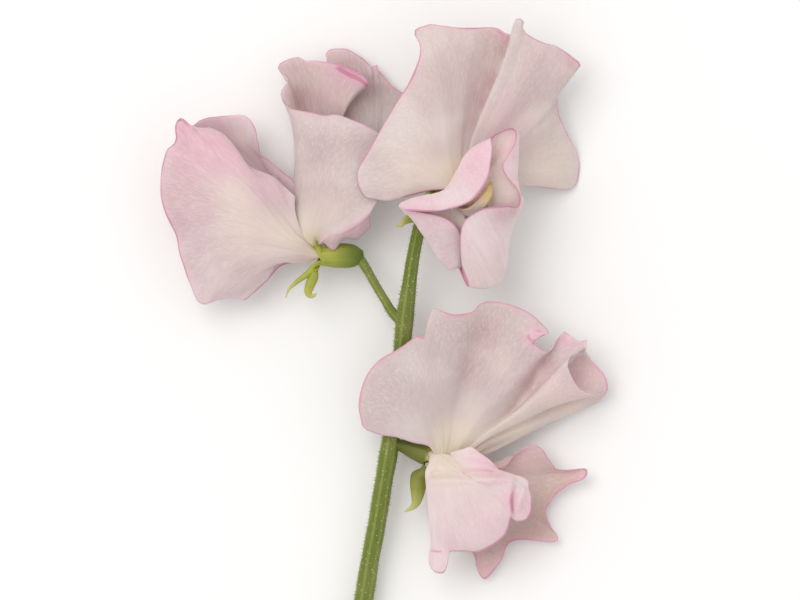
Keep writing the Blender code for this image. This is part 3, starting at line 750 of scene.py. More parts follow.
# Ripples of the margin as (length, height), and folds of the whole petal as (half waves
# from edge to edge, height).
RIPPLES = ((11.0, 1.0), (6.5, 0.55), (3.7, 0.3), (2.1, 0.16))
RIPPLE_DRIFT = 0.08
RIPPLE_RISE = 5
FOLDS = ((7, 0.1), (13, 0.05), (27, 0.016))
FOLD_WIDTH = 16.0
FOLD_SWAY = (1.4, 5.0)
FOLD_FADE = 0.7
# Veins run from the claw to the margin as (x, y, z); a margin gives the points that its
# edge takes between one vein's end and the next.
LEFT_STANDARD = [
    [(-16.5, 10.9, 10.0), (-15.4, 11.6, 11.4), (-13.3, 9.9, 10.8), (-11.3, 12.3, 11.6),
     (-8.6, 12.3, 11.0), (-5.9, 14.7, 11.6)],
    [(-16.4, 11.0, 10.4), (-15.5, 12.0, 12.9), (-13.8, 12.9, 13.8), (-11.2, 13.5, 14.1),
     (-8.4, 15.0, 14.2), (-6.0, 17.1, 14.0)],
    [(-16.5, 11.1, 10.4), (-15.4, 13.0, 13.0), (-13.0, 15.0, 13.9), (-10.0, 16.8, 14.2),
     (-7.0, 18.4, 14.2), (-4.4, 20.0, 13.8)],
    [(-16.6, 11.2, 10.3), (-15.4, 14.4, 13.0), (-12.8, 18.0, 14.0), (-9.4, 21.2, 14.4),
     (-5.6, 24.0, 14.4), (-1.4, 26.4, 13.6)],
    [(-16.7, 11.3, 10.3), (-15.8, 15.6, 12.9), (-13.6, 20.4, 13.9), (-10.6, 25.0, 14.4),
     (-7.0, 28.8, 14.4), (-2.4, 32.0, 13.8)],
    [(-16.8, 11.4, 10.2), (-16.4, 16.6, 12.7), (-14.8, 22.4, 13.6), (-12.4, 28.0, 14.2),
     (-9.6, 32.4, 14.4), (-6.0, 34.5, 14.0)],
    [(-16.9, 11.5, 10.1), (-17.0, 17.2, 12.3), (-16.4, 23.6, 13.0), (-15.0, 29.6, 13.6),
     (-13.4, 34.0, 13.8), (-12.0, 37.0, 13.6)],
    [(-17.3, 11.6, 10.2), (-18.2, 17.4, 11.8), (-18.2, 24.0, 12.2), (-17.8, 30.0, 12.6),
     (-17.6, 34.6, 12.8), (-17.6, 37.6, 12.8)],
    [(-17.8, 11.6, 10.2), (-19.8, 16.8, 11.0), (-19.9, 24.0, 11.0), (-20.0, 30.2, 11.2),
     (-20.6, 35.0, 11.2), (-21.4, 38.2, 11.2)],
    [(-18.4, 11.3, 10.0), (-21.0, 15.6, 10.0), (-21.1, 23.0, 9.3), (-21.0, 30.4, 9.2),
     (-21.8, 36.0, 9.2), (-23.6, 40.2, 9.2)],
    [(-18.2, 11.4, 9.2), (-20.8, 16.2, 8.0), (-20.6, 24.0, 7.1), (-20.4, 31.4, 6.8),
     (-20.8, 38.0, 7.0), (-22.5, 44.4, 7.6)],
    [(-17.1, 11.8, 8.8), (-18.6, 18.2, 6.0), (-19.0, 25.6, 4.6), (-19.4, 33.0, 4.0),
     (-20.6, 40.6, 4.6), (-24.6, 46.6, 6.6)],
    [(-17.0, 11.7, 8.5), (-17.4, 18.4, 4.8), (-17.2, 26.4, 2.8), (-17.2, 34.6, 2.2),
     (-18.0, 42.6, 2.8), (-20.0, 48.8, 4.6)],
    [(-16.9, 11.7, 8.3), (-16.0, 18.2, 4.6), (-15.2, 26.4, 3.2), (-14.8, 34.6, 3.2),
     (-14.8, 42.0, 4.4), (-15.4, 47.9, 5.8)],
    [(-16.8, 11.6, 8.2), (-15.2, 17.8, 4.5), (-14.0, 25.8, 3.4), (-13.2, 33.6, 3.6),
     (-12.0, 40.4, 5.0), (-11.2, 46.9, 7.0)],
    [(-16.8, 11.6, 8.1), (-14.8, 17.4, 4.5), (-13.6, 25.0, 3.5), (-12.8, 32.4, 3.8),
     (-10.6, 39.4, 5.4), (-7.6, 45.2, 7.2)],
    [(-16.8, 11.5, 8.0), (-14.6, 17.2, 4.5), (-13.4, 24.6, 3.5), (-12.9, 32.6, 3.9),
     (-10.4, 39.4, 5.6), (-6.2, 43.4, 7.2)],
    [(-16.8, 11.5, 7.9), (-14.6, 17.2, 3.6), (-13.6, 25.0, 2.0), (-13.6, 33.0, 1.6),
     (-13.2, 40.4, 2.0), (-14.8, 48.4, 2.6)],
    [(-16.8, 11.5, 7.9), (-13.8, 17.0, 3.6), (-11.6, 24.8, 1.7), (-11.2, 33.0, 1.2),
     (-11.6, 41.6, 1.6), (-12.6, 50.6, 2.6)],
    [(-16.8, 11.4, 7.8), (-12.8, 16.4, 3.8), (-9.2, 23.0, 2.0), (-7.6, 31.0, 1.3),
     (-7.8, 40.0, 1.4), (-9.0, 49.6, 2.5)],
    [(-16.8, 11.3, 7.7), (-12.4, 16.0, 3.9), (-8.4, 22.0, 2.2), (-5.6, 29.6, 1.4),
     (-4.8, 38.0, 1.3), (-5.2, 46.4, 2.4)],
    [(-16.8, 11.2, 7.7), (-12.2, 15.4, 4.0), (-8.0, 21.0, 2.4), (-4.6, 27.6, 1.6),
     (-2.6, 34.2, 1.2), (-1.6, 39.0, 1.4), (-1.6, 43.2, 2.4)],
    [(-16.8, 11.1, 7.6), (-12.0, 14.6, 4.4), (-7.6, 19.0, 2.8), (-3.8, 24.4, 2.0),
     (-1.0, 30.4, 1.6), (0.6, 35.6, 1.8), (1.4, 40.6, 2.6)],
    [(-16.7, 10.9, 7.5), (-12.4, 14.0, 4.8), (-8.4, 17.4, 3.8), (-5.0, 21.4, 3.2),
     (-2.6, 25.6, 3.0), (-1.2, 29.4, 3.2), (0.6, 34.0, 3.6)],
]
LEFT_STANDARD_MARGIN = {
    6: [(-15.0, 37.0, 13.2)],
    8: [(-22.6, 38.8, 10.6)],
    9: [(-23.9, 41.6, 9.2), (-23.2, 42.9, 8.6)],
    10: [(-23.4, 45.2, 7.4)],
    11: [(-24.1, 47.6, 6.2), (-22.6, 48.3, 5.4), (-21.2, 48.7, 5.0)],
    12: [(-19.2, 48.0, 4.8), (-17.4, 48.2, 5.2)],
    13: [(-14.4, 47.8, 6.1), (-12.8, 47.5, 6.6)],
    14: [(-9.8, 46.2, 7.2)],
    15: [(-6.8, 44.7, 7.3), (-6.3, 44.0, 7.3)],
    16: [(-7.2, 43.4, 4.6), (-10.0, 44.4, 3.0), (-13.4, 46.6, 2.6)],
    17: [(-14.9, 49.6, 2.7), (-14.2, 50.4, 2.7)],
    18: [(-10.6, 50.5, 2.6)],
    19: [(-7.4, 48.6, 2.5), (-6.2, 47.4, 2.5)],
    20: [(-5.6, 46.9, 2.8), (-5.1, 47.6, 3.0), (-4.5, 47.2, 2.8), (-4.4, 46.4, 2.5),
         (-3.0, 44.7, 2.4)],
    21: [(0.0, 42.0, 2.4)],
}
# The inner line of the rolled hem on the front lobe, and the edge of the lower turn-under;
# both are as pink as a margin.
LEFT_STANDARD_HEM = [
    (-12.6, 46.7, 6.3), (-11.2, 45.9, 6.6), (-9.8, 45.1, 6.8), (-8.2, 44.4, 6.9),
    (-7.0, 43.5, 7.0), (-6.4, 43.0, 7.0),
]
LEFT_STANDARD_TURN = [
    (-15.4, 12.1, 12.9), (-13.8, 12.9, 13.8), (-11.2, 13.5, 14.1), (-8.4, 15.0, 14.2),
    (-6.0, 17.1, 14.0), (-4.6, 19.4, 13.8),
]
PETAL_BODY = "#C3B1B0"
PETAL_VEIL = "#CFC1BE"
# Cream patches mix in this colour. They are cream tissue at the claws and also painted light,
# which pales places that lie in shadow.
PETAL_CREAM_AND_LIGHT = "#E2D3C4"
PETAL_THROAT = "#E4D79C"
PETAL_PINK = "#E4B2C1"
# Shade patches mix in this mauve: painted shade in folds, grooves, pockets and under other petals.
PAINTED_SHADE_MAUVE = "#B08F91"
PICOTEE = "#C57D9A"
SILK_DARK = "#BFA3A3"
# The pale silky streaks are painted sheen: light glinting along the silky cells.
PAINTED_SILK_SHEEN = "#EFE4E2"
# Silky lines run the length of a petal, the fine ones over four times as close; mottling is
# about 10 mm wide and the cells 0.4 mm.
SILK_STRETCH = 3.4
FINE_LINES = 4.4
FINE_STRETCH = 26.0
MOTTLE_SIZE = 10.53
CELL_SIZE = 0.385
SILK_GRAIN = {"Scale": 1.0, "Detail": 4.0, "Roughness": 0.6, "Distortion": 0.5}
FINE_GRAIN = {"Scale": 1.0, "Detail": 2.0, "Roughness": 0.5, "Distortion": 0.8}
MOTTLE_GRAIN = {"Scale": scale_for(MOTTLE_SIZE), "Detail": 2.0, "Roughness": 0.45}
CELL_GRAIN = {"Scale": scale_for(CELL_SIZE), "Detail": 1.0}
VEIL_RANGE = {"From Min": 0.38, "From Max": 0.62}
OPEN_RANGE = {"From Min": 0.12, "From Max": 0.6}
THROAT_STRENGTH = 0.9
DARK_LINE_RANGE = {"From Min": 0.44, "From Max": 0.74, "To Max": 0.22}
SHEEN_LINE_RANGE = {"From Min": 0.44, "From Max": 0.8, "To Max": 0.34}
WASH_RANGE = {"From Min": 0.0, "From Max": 2.2, "To Min": 0.26, "To Max": 0.0}
PICOTEE_RANGE = {"From Min": 0.1, "To Min": 0.85, "To Max": 0.0}
# The pink margin wavers in width with the mottling: times 1.6 mm, less 0.8 mm.
PICOTEE_WAVER = {1: 1.6, 2: -0.8}
CELL_RELIEF = 0.35
PETAL_RELIEF = {"Strength": 0.4, "Distance": 0.14 * MM}
PETAL_FINISH = {
    "Roughness": 0.5, "Specular IOR Level": 0.3, "Sheen Weight": 0.18, "Sheen Roughness": 0.4,
    "Subsurface Weight": 0.3, "Subsurface Radius": (1.0, 0.55, 0.5),
    "Subsurface Scale": 1.0 * MM,
}


def claw_root(spot, cup):
    """Where a vein starts inside the calyx cup, drawn in towards the cup's axis."""
    base, mouth = np.array(cup["base"]), np.array(cup["mouth"])
    axis = unit(mouth - base)
    offset = np.array(spot) - mouth
    outward = offset - axis * (offset @ axis)
    return mouth - axis * CLAW_DEPTH + outward * CLAW_SHARE


def petal_net(veins, margin, cup):
    """A dense net over a petal: from claw to margin along, from edge to edge across."""
    lines = []
    for vein in veins:
        stations = [claw_root(vein[0], cup)] + [np.array(spot) for spot in vein]
        lines.append(through(stations, np.linspace(0.0, len(stations) - 1.0, ALONG)))
    gaps = np.linalg.norm(np.diff(np.array(lines), axis=0), axis=2)[:, ALONG // 2:].mean(axis=1)
    reach = np.concatenate([[0.0], np.cumsum(gaps + EVEN_SHARE)])
    spread = np.interp(np.linspace(0.0, reach[-1], ACROSS), reach, np.arange(len(veins)))
    net = through(np.array(lines), spread)
    spots, marks = [], []
    for number, vein in enumerate(veins):
        spots.append(vein[-1])
        marks.append(float(number))
        between = margin.get(number, [])
        if between:
            chain = np.array([vein[-1]] + between + [veins[number + 1][-1]])
            steps = np.linalg.norm(np.diff(chain, axis=0), axis=1)
            marks.extend(number + np.cumsum(steps)[:-1] / steps.sum())
            spots.extend(between)
    edge = through(spots, np.interp(spread, marks, np.arange(len(spots))))
    pull = np.linspace(0.0, 1.0, ALONG) ** MARGIN_PULL
    return net + (edge - net[:, -1])[:, None, :] * pull[None, :, None]


def arc_length(net, axis):
    """How far each net point lies along its own line, in millimetres."""
    steps = np.linalg.norm(np.diff(net, axis=axis), axis=-1)
    start = np.zeros_like(np.take(steps, [0], axis=axis))
    return np.cumsum(np.concatenate([start, steps], axis=axis), axis=axis)


def net_normals(net):
    """The way the tissue faces at each net point."""
    return unit(np.cross(np.gradient(net, axis=0), np.gradient(net, axis=1)))


def glow(net, patches):
    """A soft patch round each (x, y, z, reach, strength), summed over the net."""
    total = np.zeros(net.shape[:2])
    for x, y, z, reach, strength in patches:
        away = np.linalg.norm((net - (x, y, z)) * (1.0, 1.0, GLOW_DEPTH_SHARE), axis=-1)
        total += strength * np.exp(-((away / reach) ** 2))
    return total


def distance_to(net, corners):
    """How far each net point is from a smooth line through the corners."""
    line = through(corners, np.linspace(0.0, len(corners) - 1.0, LINE_STEPS))
    away = (net[:, :, None, :] - line[None, None]) * (1.0, 1.0, DEPTH_SHARE)
    return np.linalg.norm(away, axis=-1).min(axis=2)


def ripple(net, seed, frill):
    """The net with a rippled margin and soft folds; the seed sets where they fall."""
    chance = random.Random(seed)
    share = np.linspace(0.0, 1.0, ALONG)[None, :]
    along_length, across_length = arc_length(net, 1), arc_length(net, 0)
    wave, fold = np.zeros(net.shape[:2]), np.zeros(net.shape[:2])
    for length, height in RIPPLES:
        phase = chance.uniform(0.0, math.tau)
        drift = chance.uniform(-RIPPLE_DRIFT, RIPPLE_DRIFT)
        wave += height * np.sin(
            across_length[:, -1:] * math.tau / length + phase + along_length * drift
        )
    sway, sway_rate = FOLD_SWAY
    for count, height in FOLDS:
        phase = chance.uniform(0.0, math.tau)
        turns = np.linspace(0.0, count * math.pi, ACROSS)[:, None]
        fold += height * np.sin(turns + phase + sway * np.sin(share * sway_rate + phase))
    narrow = np.minimum(across_length[-1:] / FOLD_WIDTH, 1.0)
    fold *= np.sin(share * math.pi) ** FOLD_FADE * narrow
    height = wave * frill * share ** RIPPLE_RISE
    normal = net_normals(net)
    return net + normal * height[..., None] + normal * fold[..., None]


def wall_thickness():
    """How thick the sheet is at each net point: thinner outwards, rounded at its rim."""
    from_margin = np.arange(ALONG)[::-1]
    from_side = np.minimum(np.arange(ACROSS), np.arange(ACROSS)[::-1])
    inward = np.minimum(np.minimum(from_margin[None, :], from_side[:, None]), RIM_ROUNDING)
    inward = inward / RIM_ROUNDING
    rounding = np.sqrt(1.0 - (1.0 - inward) ** 2) * RIM_ROUNDNESS + 1.0 - RIM_ROUNDNESS
    share = np.linspace(0.0, 1.0, ALONG)[None, :]
    return (MARGIN_WALL + (PETAL_WALL - MARGIN_WALL) * (1.0 - share ** 3)) * rounding


def sheet_faces():
    """The faces of a closed sheet: its front, its back and the band round its border."""
    number = np.arange(ACROSS * ALONG).reshape(ACROSS, ALONG)
    a, b = number[:-1, :-1].ravel(), number[1:, :-1].ravel()
    c, d = number[1:, 1:].ravel(), number[:-1, 1:].ravel()
    border = np.concatenate([
        number[:, 0], number[-1, 1:], number[-2::-1, -1], number[0, -2:0:-1],
    ])
    after = np.roll(border, -1)
    back = number.size
    return (
        np.stack([a, b, c, d], 1).tolist()
        + (np.stack([d, c, b, a], 1) + back).tolist()
        + np.stack([after, border, border + back, after + back], 1).tolist()
    )


def grow_petal(name, node, cup, veins, margin, tissue, seed, frill, crests=(), creases=(),
               turned=(), bare=(), pink=(), cream_and_light=(), shade=()):
    """One petal as a closed thin sheet with rounded margins and its colour attributes.

    Crests are pink like a margin; creases (line, reach, height) rise towards the eye or
    sink; turned patches bend the margin down; bare patches have no pink margin."""
    # Pink patches are blush. Cream patches are cream tissue and also painted light in shadowed
    # places. Shade patches are painted shade.
    net = petal_net(veins, margin, cup)
    for corners, reach, height in creases:
        net[..., 2] += height * np.exp(-((distance_to(net, corners) / reach) ** 2))
    share = np.linspace(0.0, 1.0, ALONG)
    last_part = np.clip((share - TURNED_START) / (1.0 - TURNED_START), 0.0, 1.0) ** 2
    net[..., 2] -= glow(net, turned) * last_part[None, :]
    along_length, across_length = arc_length(net, 1), arc_length(net, 0)
    to_margin = along_length[:, -1:] - along_length
    to_side = np.minimum(across_length, across_length[-1:] - across_length)

    net = ripple(net, seed, frill)
    normal, wall = net_normals(net), wall_thickness()
    table_top = DRAWING_MIDDLE[2] + TABLE_GAP
    net[..., 2] += np.maximum(wall / 2.0 + table_top - net[..., 2], 0.0)
    front = net + normal * (wall / 2.0)[..., None]
    back = net - normal * (wall / 2.0)[..., None]
    points = place(np.concatenate([front.reshape(-1, 3), back.reshape(-1, 3)]))
    u, v = np.meshgrid(np.linspace(0.0, 1.0, ACROSS), share, indexing="ij")
    uv = np.tile(np.stack([u, v], -1).reshape(-1, 2), (2, 1))
    petal = piece_from(name, points, sheet_faces(), tissue, "Petal", uv)

    guard = np.maximum(CLAW_GUARD - share, 0.0) * CLAW_GUARD_REACH
    rim = np.minimum(to_margin, to_side + guard[None, :])
    for crest in crests:
        rim = np.minimum(rim, distance_to(net, crest))
    for label, values in (
        ("rim_mm", rim + glow(net, bare) * BARE_RIM), ("pink", glow(net, pink)),
        ("cream_and_light", glow(net, cream_and_light)), ("shade", glow(net, shade)),
    ):
        layer = petal.data.attributes.new(label, "FLOAT", "POINT")
        layer.data.foreach_set("value", np.tile(values.ravel(), 2).astype(np.float32))
    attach(petal, "root")
    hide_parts(node)
    return petal


def petal_tissue(name, body=PETAL_BODY, veil=PETAL_VEIL, throat=PETAL_THROAT,
                 picotee=PICOTEE, vein_count=46.0, picotee_width=0.5, throat_end=0.34):
    """Living petal tissue, velvety and slightly lit through. Its cells run from claw to
    margin in silky lines 0.5 mm apart, drawn a little coarse so that they show."""
    material, tree, output = new_material(name)
    petal_uv = add_node(tree, "ShaderNodeUVMap", uv_map="Petal").outputs[0]
    spot = add_node(tree, "ShaderNodeTexCoord").outputs["Object"]
    split = add_node(tree, "ShaderNodeSeparateXYZ", {0: petal_uv})
    rim, pink, cream_and_light, shade = (
        add_node(tree, "ShaderNodeAttribute", attribute_name=label).outputs["Fac"]
        for label in ("rim_mm", "pink", "cream_and_light", "shade")
    )
    silk_map, fine_map = (
        add_node(tree, "ShaderNodeMapping", {"Vector": petal_uv, "Scale": (lines, stretch, 1.0)})
        for lines, stretch in (
            (vein_count, SILK_STRETCH), (vein_count * FINE_LINES, FINE_STRETCH),
        )
    )
    silk, fine, mottle, cells = (
        add_node(tree, "ShaderNodeTexNoise", {"Vector": vector, **grain}).outputs[0]
        for vector, grain in (
            (silk_map.outputs[0], SILK_GRAIN), (fine_map.outputs[0], FINE_GRAIN),
            (spot, MOTTLE_GRAIN), (spot, CELL_GRAIN),
        )
    )
    waver = add_node(
        tree, "ShaderNodeMath", {0: mottle, **PICOTEE_WAVER}, operation="MULTIPLY_ADD",
    )
    wavering_rim = add_node(
        tree, "ShaderNodeMath", {0: rim, 1: waver.outputs[0]}, operation="ADD",
    )
    throat_range = {"From Min": throat_end, "From Max": 0.0, "To Max": THROAT_STRENGTH}
    picotee_range = {"From Max": picotee_width, **PICOTEE_RANGE}
    veiled, throated, open_part, washed, edged, dark_line, sheen_line = (
        add_node(
            tree, "ShaderNodeMapRange", {"Value": value, **limits}, interpolation_type=easing,
        ).outputs[0]
        for value, limits, easing in (
            (mottle, VEIL_RANGE, "SMOOTHSTEP"), (split.outputs["Y"], throat_range, "SMOOTHSTEP"),
            (split.outputs["Y"], OPEN_RANGE, "SMOOTHSTEP"), (rim, WASH_RANGE, "SMOOTHSTEP"),
            (wavering_rim.outputs[0], picotee_range, "SMOOTHSTEP"),
            (silk, DARK_LINE_RANGE, "LINEAR"), (fine, SHEEN_LINE_RANGE, "LINEAR"),
        )
    )
    dark_silk, painted_sheen = (
        add_node(tree, "ShaderNodeMath", {0: line, 1: open_part}, operation="MULTIPLY").outputs[0]
        for line in (dark_line, sheen_line)
    )
    # Over the body go the veil mottle, cream patches (cream tissue and painted light), throat and
    # blush. Then come painted shade patches, dark vein lines, pale lines of painted sheen, the
    # pink wash and the pink margin.
    colour = linear(body)
    for share, tint in (
        (veiled, veil), (cream_and_light, PETAL_CREAM_AND_LIGHT), (throated, throat), (pink, PETAL_PINK),
        (shade, PAINTED_SHADE_MAUVE), (dark_silk, SILK_DARK), (painted_sheen, PAINTED_SILK_SHEEN),
        (washed, PETAL_PINK), (edged, picotee),
    ):
        layer = add_node(
            tree, "ShaderNodeMix", {0: share, 6: colour, 7: linear(tint)}, data_type="RGBA",
        )
        colour = layer.outputs[2]
    ridges = add_node(tree, "ShaderNodeMath", {0: silk, 1: fine}, operation="ADD")
    relief = add_node(
        tree, "ShaderNodeMath", {0: cells, 1: CELL_RELIEF, 2: ridges.outputs[0]},
        operation="MULTIPLY_ADD",
    )
    bump = add_node(tree, "ShaderNodeBump", {"Height": relief.outputs[0], **PETAL_RELIEF})
    shader = add_node(
        tree, "ShaderNodeBsdfPrincipled",
        {"Base Color": colour, "Normal": bump.outputs[0], **PETAL_FINISH},
    )
    tree.links.new(shader.outputs[0], output.inputs[0])
    return material


grow_petal(
    "left_standard_petal", "left_standard", CUPS["left"], LEFT_STANDARD,
    LEFT_STANDARD_MARGIN, petal_tissue("left standard tissue"), seed=11, frill=0.12,
    crests=[LEFT_STANDARD_HEM, LEFT_STANDARD_TURN],
    bare=[(-19.0, 14.0, 9.5, 3.4, 1.0), (-21.0, 20.0, 9.0, 3.4, 1.0)],
    pink=[(-13.5, 42.0, 4.6, 4.5, 0.45), (-11.0, 46.4, 6.8, 2.4, 0.6),
          (-8.0, 44.8, 7.0, 2.2, 0.6), (-13.2, 10.8, 11.2, 2.2, 0.4),
          (-9.0, 12.8, 11.2, 2.4, 0.4), (-6.4, 15.0, 12.0, 2.2, 0.4),
          (-5.0, 47.0, 2.8, 1.0, 0.9), (-15.0, 47.6, 6.0, 2.4, 0.4),
          (-21.0, 48.0, 5.0, 2.4, 0.3)],
    cream_and_light=[(-14.0, 18.0, 14.0, 5.0, 0.3), (-19.4, 15.0, 10.4, 4.0, 0.6),
           (-12.2, 41.0, 5.0, 3.4, 0.7), (-16.4, 44.0, 4.4, 2.4, 0.5)],
    shade=[(-20.8, 40.4, 6.0, 2.4, 0.9), (-14.0, 29.0, 13.8, 5.0, 0.3),
           (-11.4, 35.0, 2.0, 3.0, 0.5), (-21.5, 46.6, 6.0, 2.0, 0.3),
           (-13.2, 11.0, 11.2, 2.2, 0.35),
           (-9.0, 12.8, 11.2, 2.4, 0.35), (-6.4, 15.0, 12.0, 2.2, 0.35),
           (-11.4, 48.6, 2.6, 2.6, 0.15), (-6.0, 42.0, 2.0, 3.0, 0.2)],
)

# ----------------------------------------------------------------------------------------
# Left blossom, wings and keel. Two round side petals, one towards the eye and one behind
# it, close over the small boat-shaped keel; the near wing's top corner is curled over.
LEFT_FAR_WING = [
    [(-16.2, 8.5, 7.3), (-20.4, 7.8, 5.8), (-24.0, 6.8, 4.8), (-27.0, 3.6, 4.4),
     (-30.6, 1.2, 4.6)],
    [(-16.3, 8.7, 7.2), (-22.0, 8.8, 4.8), (-28.0, 7.0, 3.0), (-33.0, 4.0, 2.8),
     (-38.0, 1.6, 4.6)],
    [(-16.4, 8.9, 7.1), (-23.4, 11.0, 3.8), (-30.8, 11.2, 1.2), (-37.2, 9.2, 1.2),
     (-42.2, 6.4, 4.8)],
    [(-16.5, 9.2, 7.0), (-23.6, 14.0, 3.4), (-31.6, 17.2, 0.4), (-39.2, 18.6, 0.6),
     (-45.2, 19.4, 5.2)],
    [(-16.6, 9.5, 7.0), (-23.2, 17.0, 3.4), (-30.8, 23.4, 0.5), (-38.4, 28.0, 1.2),
     (-44.6, 31.4, 6.0)],
    [(-16.6, 9.7, 7.1), (-22.4, 18.6, 3.8), (-29.6, 26.2, 1.2), (-35.8, 31.6, 2.2),
     (-41.0, 35.4, 7.4)],
    [(-16.7, 9.8, 7.1), (-21.8, 19.2, 4.2), (-28.2, 27.0, 2.0), (-33.4, 32.0, 3.4),
     (-36.0, 37.0, 8.4)],
    [(-16.8, 10.0, 7.2), (-21.2, 19.4, 4.6), (-26.8, 26.8, 3.0), (-30.6, 31.6, 4.4),
     (-31.0, 36.8, 8.4)],
    [(-16.9, 10.1, 7.3), (-20.6, 19.0, 5.2), (-25.4, 25.4, 4.6), (-28.0, 28.6, 5.6),
     (-28.7, 32.6, 8.0)],
    [(-16.9, 10.2, 7.4), (-20.2, 18.2, 6.0), (-23.4, 22.8, 6.2), (-25.4, 25.0, 7.0),
     (-26.4, 28.0, 8.4)],
    [(-17.0, 10.4, 7.5), (-19.6, 16.4, 6.6), (-20.6, 19.2, 7.2), (-20.6, 20.8, 8.0),
     (-20.4, 22.8, 8.8)],
]
LEFT_FAR_WING_MARGIN = {
    5: [(-39.6, 36.2, 8.0), (-38.0, 36.7, 8.3)],
    6: [(-34.0, 37.1, 8.5), (-32.4, 37.1, 8.5)],
    7: [(-29.8, 35.8, 8.3), (-29.0, 34.2, 8.1)],
    8: [(-28.3, 30.6, 8.1), (-27.8, 29.2, 8.2)],
    9: [(-24.2, 26.2, 8.6), (-22.0, 24.6, 8.7)],
}
LEFT_NEAR_WING = [
    [(-16.2, 8.4, 10.1), (-20.4, 7.6, 10.3), (-24.4, 7.5, 10.2), (-26.7, 3.8, 9.2),
     (-31.0, 0.0, 7.2)],
    [(-16.3, 8.6, 10.3), (-21.4, 8.3, 11.2), (-26.6, 6.8, 11.4), (-31.4, 3.4, 10.4),
     (-36.0, 0.0, 8.2)],
    [(-16.4, 8.8, 10.4), (-22.6, 9.4, 12.0), (-29.4, 8.2, 12.8), (-35.4, 4.4, 11.4),
     (-40.0, -0.6, 8.8)],
    [(-16.4, 9.0, 10.5), (-23.4, 10.4, 12.3), (-31.0, 11.0, 13.4), (-37.6, 8.8, 12.4),
     (-43.0, 5.4, 9.6)],
    [(-16.5, 9.2, 10.5), (-23.6, 11.4, 12.5), (-32.0, 14.2, 13.8), (-39.6, 15.0, 13.0),
     (-46.0, 15.0, 10.0)],
    [(-16.6, 9.4, 10.6), (-23.5, 12.3, 12.5), (-31.8, 17.2, 14.1), (-39.8, 20.6, 13.6),
     (-48.0, 23.0, 10.4)],
    [(-16.6, 9.6, 10.6), (-23.2, 13.1, 12.4), (-30.8, 19.6, 14.3), (-38.8, 25.0, 14.0),
     (-46.6, 30.2, 11.2)],
    [(-16.7, 9.8, 10.4), (-22.8, 13.7, 12.2), (-29.4, 21.2, 14.2), (-36.6, 28.2, 14.2),
     (-43.9, 36.5, 13.2)],
    [(-16.8, 10.0, 10.2), (-22.2, 14.0, 11.9), (-27.7, 21.2, 13.5), (-33.3, 28.0, 14.0),
     (-38.4, 34.7, 12.6)],
    [(-16.8, 10.1, 9.9), (-21.5, 14.0, 11.5), (-25.8, 20.4, 12.9), (-29.6, 25.4, 13.5),
     (-33.0, 30.6, 13.2)],
    [(-16.9, 10.3, 9.5), (-20.6, 13.7, 11.0), (-23.6, 18.8, 12.4), (-25.9, 22.5, 13.0),
     (-28.2, 26.0, 12.8)],
    [(-17.0, 10.4, 9.2), (-19.1, 13.1, 10.2), (-20.4, 15.6, 11.5), (-21.0, 18.2, 12.2),
     (-21.0, 20.7, 12.7)],
]
LEFT_NEAR_WING_MARGIN = {
    0: [(-33.0, 0.4, 7.4)],
    1: [(-38.0, -0.5, 8.6), (-39.0, -0.8, 8.8)],
    2: [(-40.9, 0.2, 9.0), (-41.8, 2.4, 9.2)],
    3: [(-44.2, 9.4, 9.8), (-44.8, 12.4, 9.9)],
    4: [(-47.2, 17.8, 10.2), (-47.9, 20.6, 10.3)],
    5: [(-48.0, 25.0, 10.6), (-47.5, 27.6, 10.8)],
    6: [(-45.4, 31.2, 11.6), (-44.9, 32.6, 12.2), (-45.1, 34.2, 12.8), (-44.8, 35.6, 13.2)],
    7: [(-42.9, 35.9, 13.2), (-41.9, 34.9, 13.0), (-40.2, 34.5, 12.8)],
    8: [(-36.8, 34.2, 12.8), (-35.0, 33.0, 13.0)],
    9: [(-31.4, 28.0, 13.2), (-30.0, 26.9, 13.0)],
    10: [(-25.6, 24.8, 12.5), (-23.2, 22.8, 12.0)],
}
LEFT_KEEL = [
    [(-16.2, 9.6, 9.1), (-19.2, 9.9, 9.9), (-23.4, 10.5, 10.0), (-27.6, 11.2, 9.0)],
    [(-16.3, 8.9, 9.2), (-19.6, 8.7, 10.0), (-24.0, 8.9, 10.0), (-28.2, 10.0, 8.9)],
    [(-16.4, 8.4, 8.8), (-19.8, 7.7, 8.6), (-24.2, 7.9, 8.4), (-28.6, 9.6, 8.6)],
    [(-16.3, 8.9, 8.4), (-19.6, 8.7, 7.2), (-24.0, 8.9, 6.8), (-28.2, 10.0, 8.2)],
    [(-16.2, 9.6, 8.4), (-19.2, 9.9, 7.4), (-23.4, 10.5, 6.8), (-27.6, 11.2, 8.1)],
]
PALE_KEEL = {"body": "#EBDDB8", "veil": "#EBDDB8", "throat": "#D9CF94", "picotee": "#DDB656",
             "vein_count": 16.0}
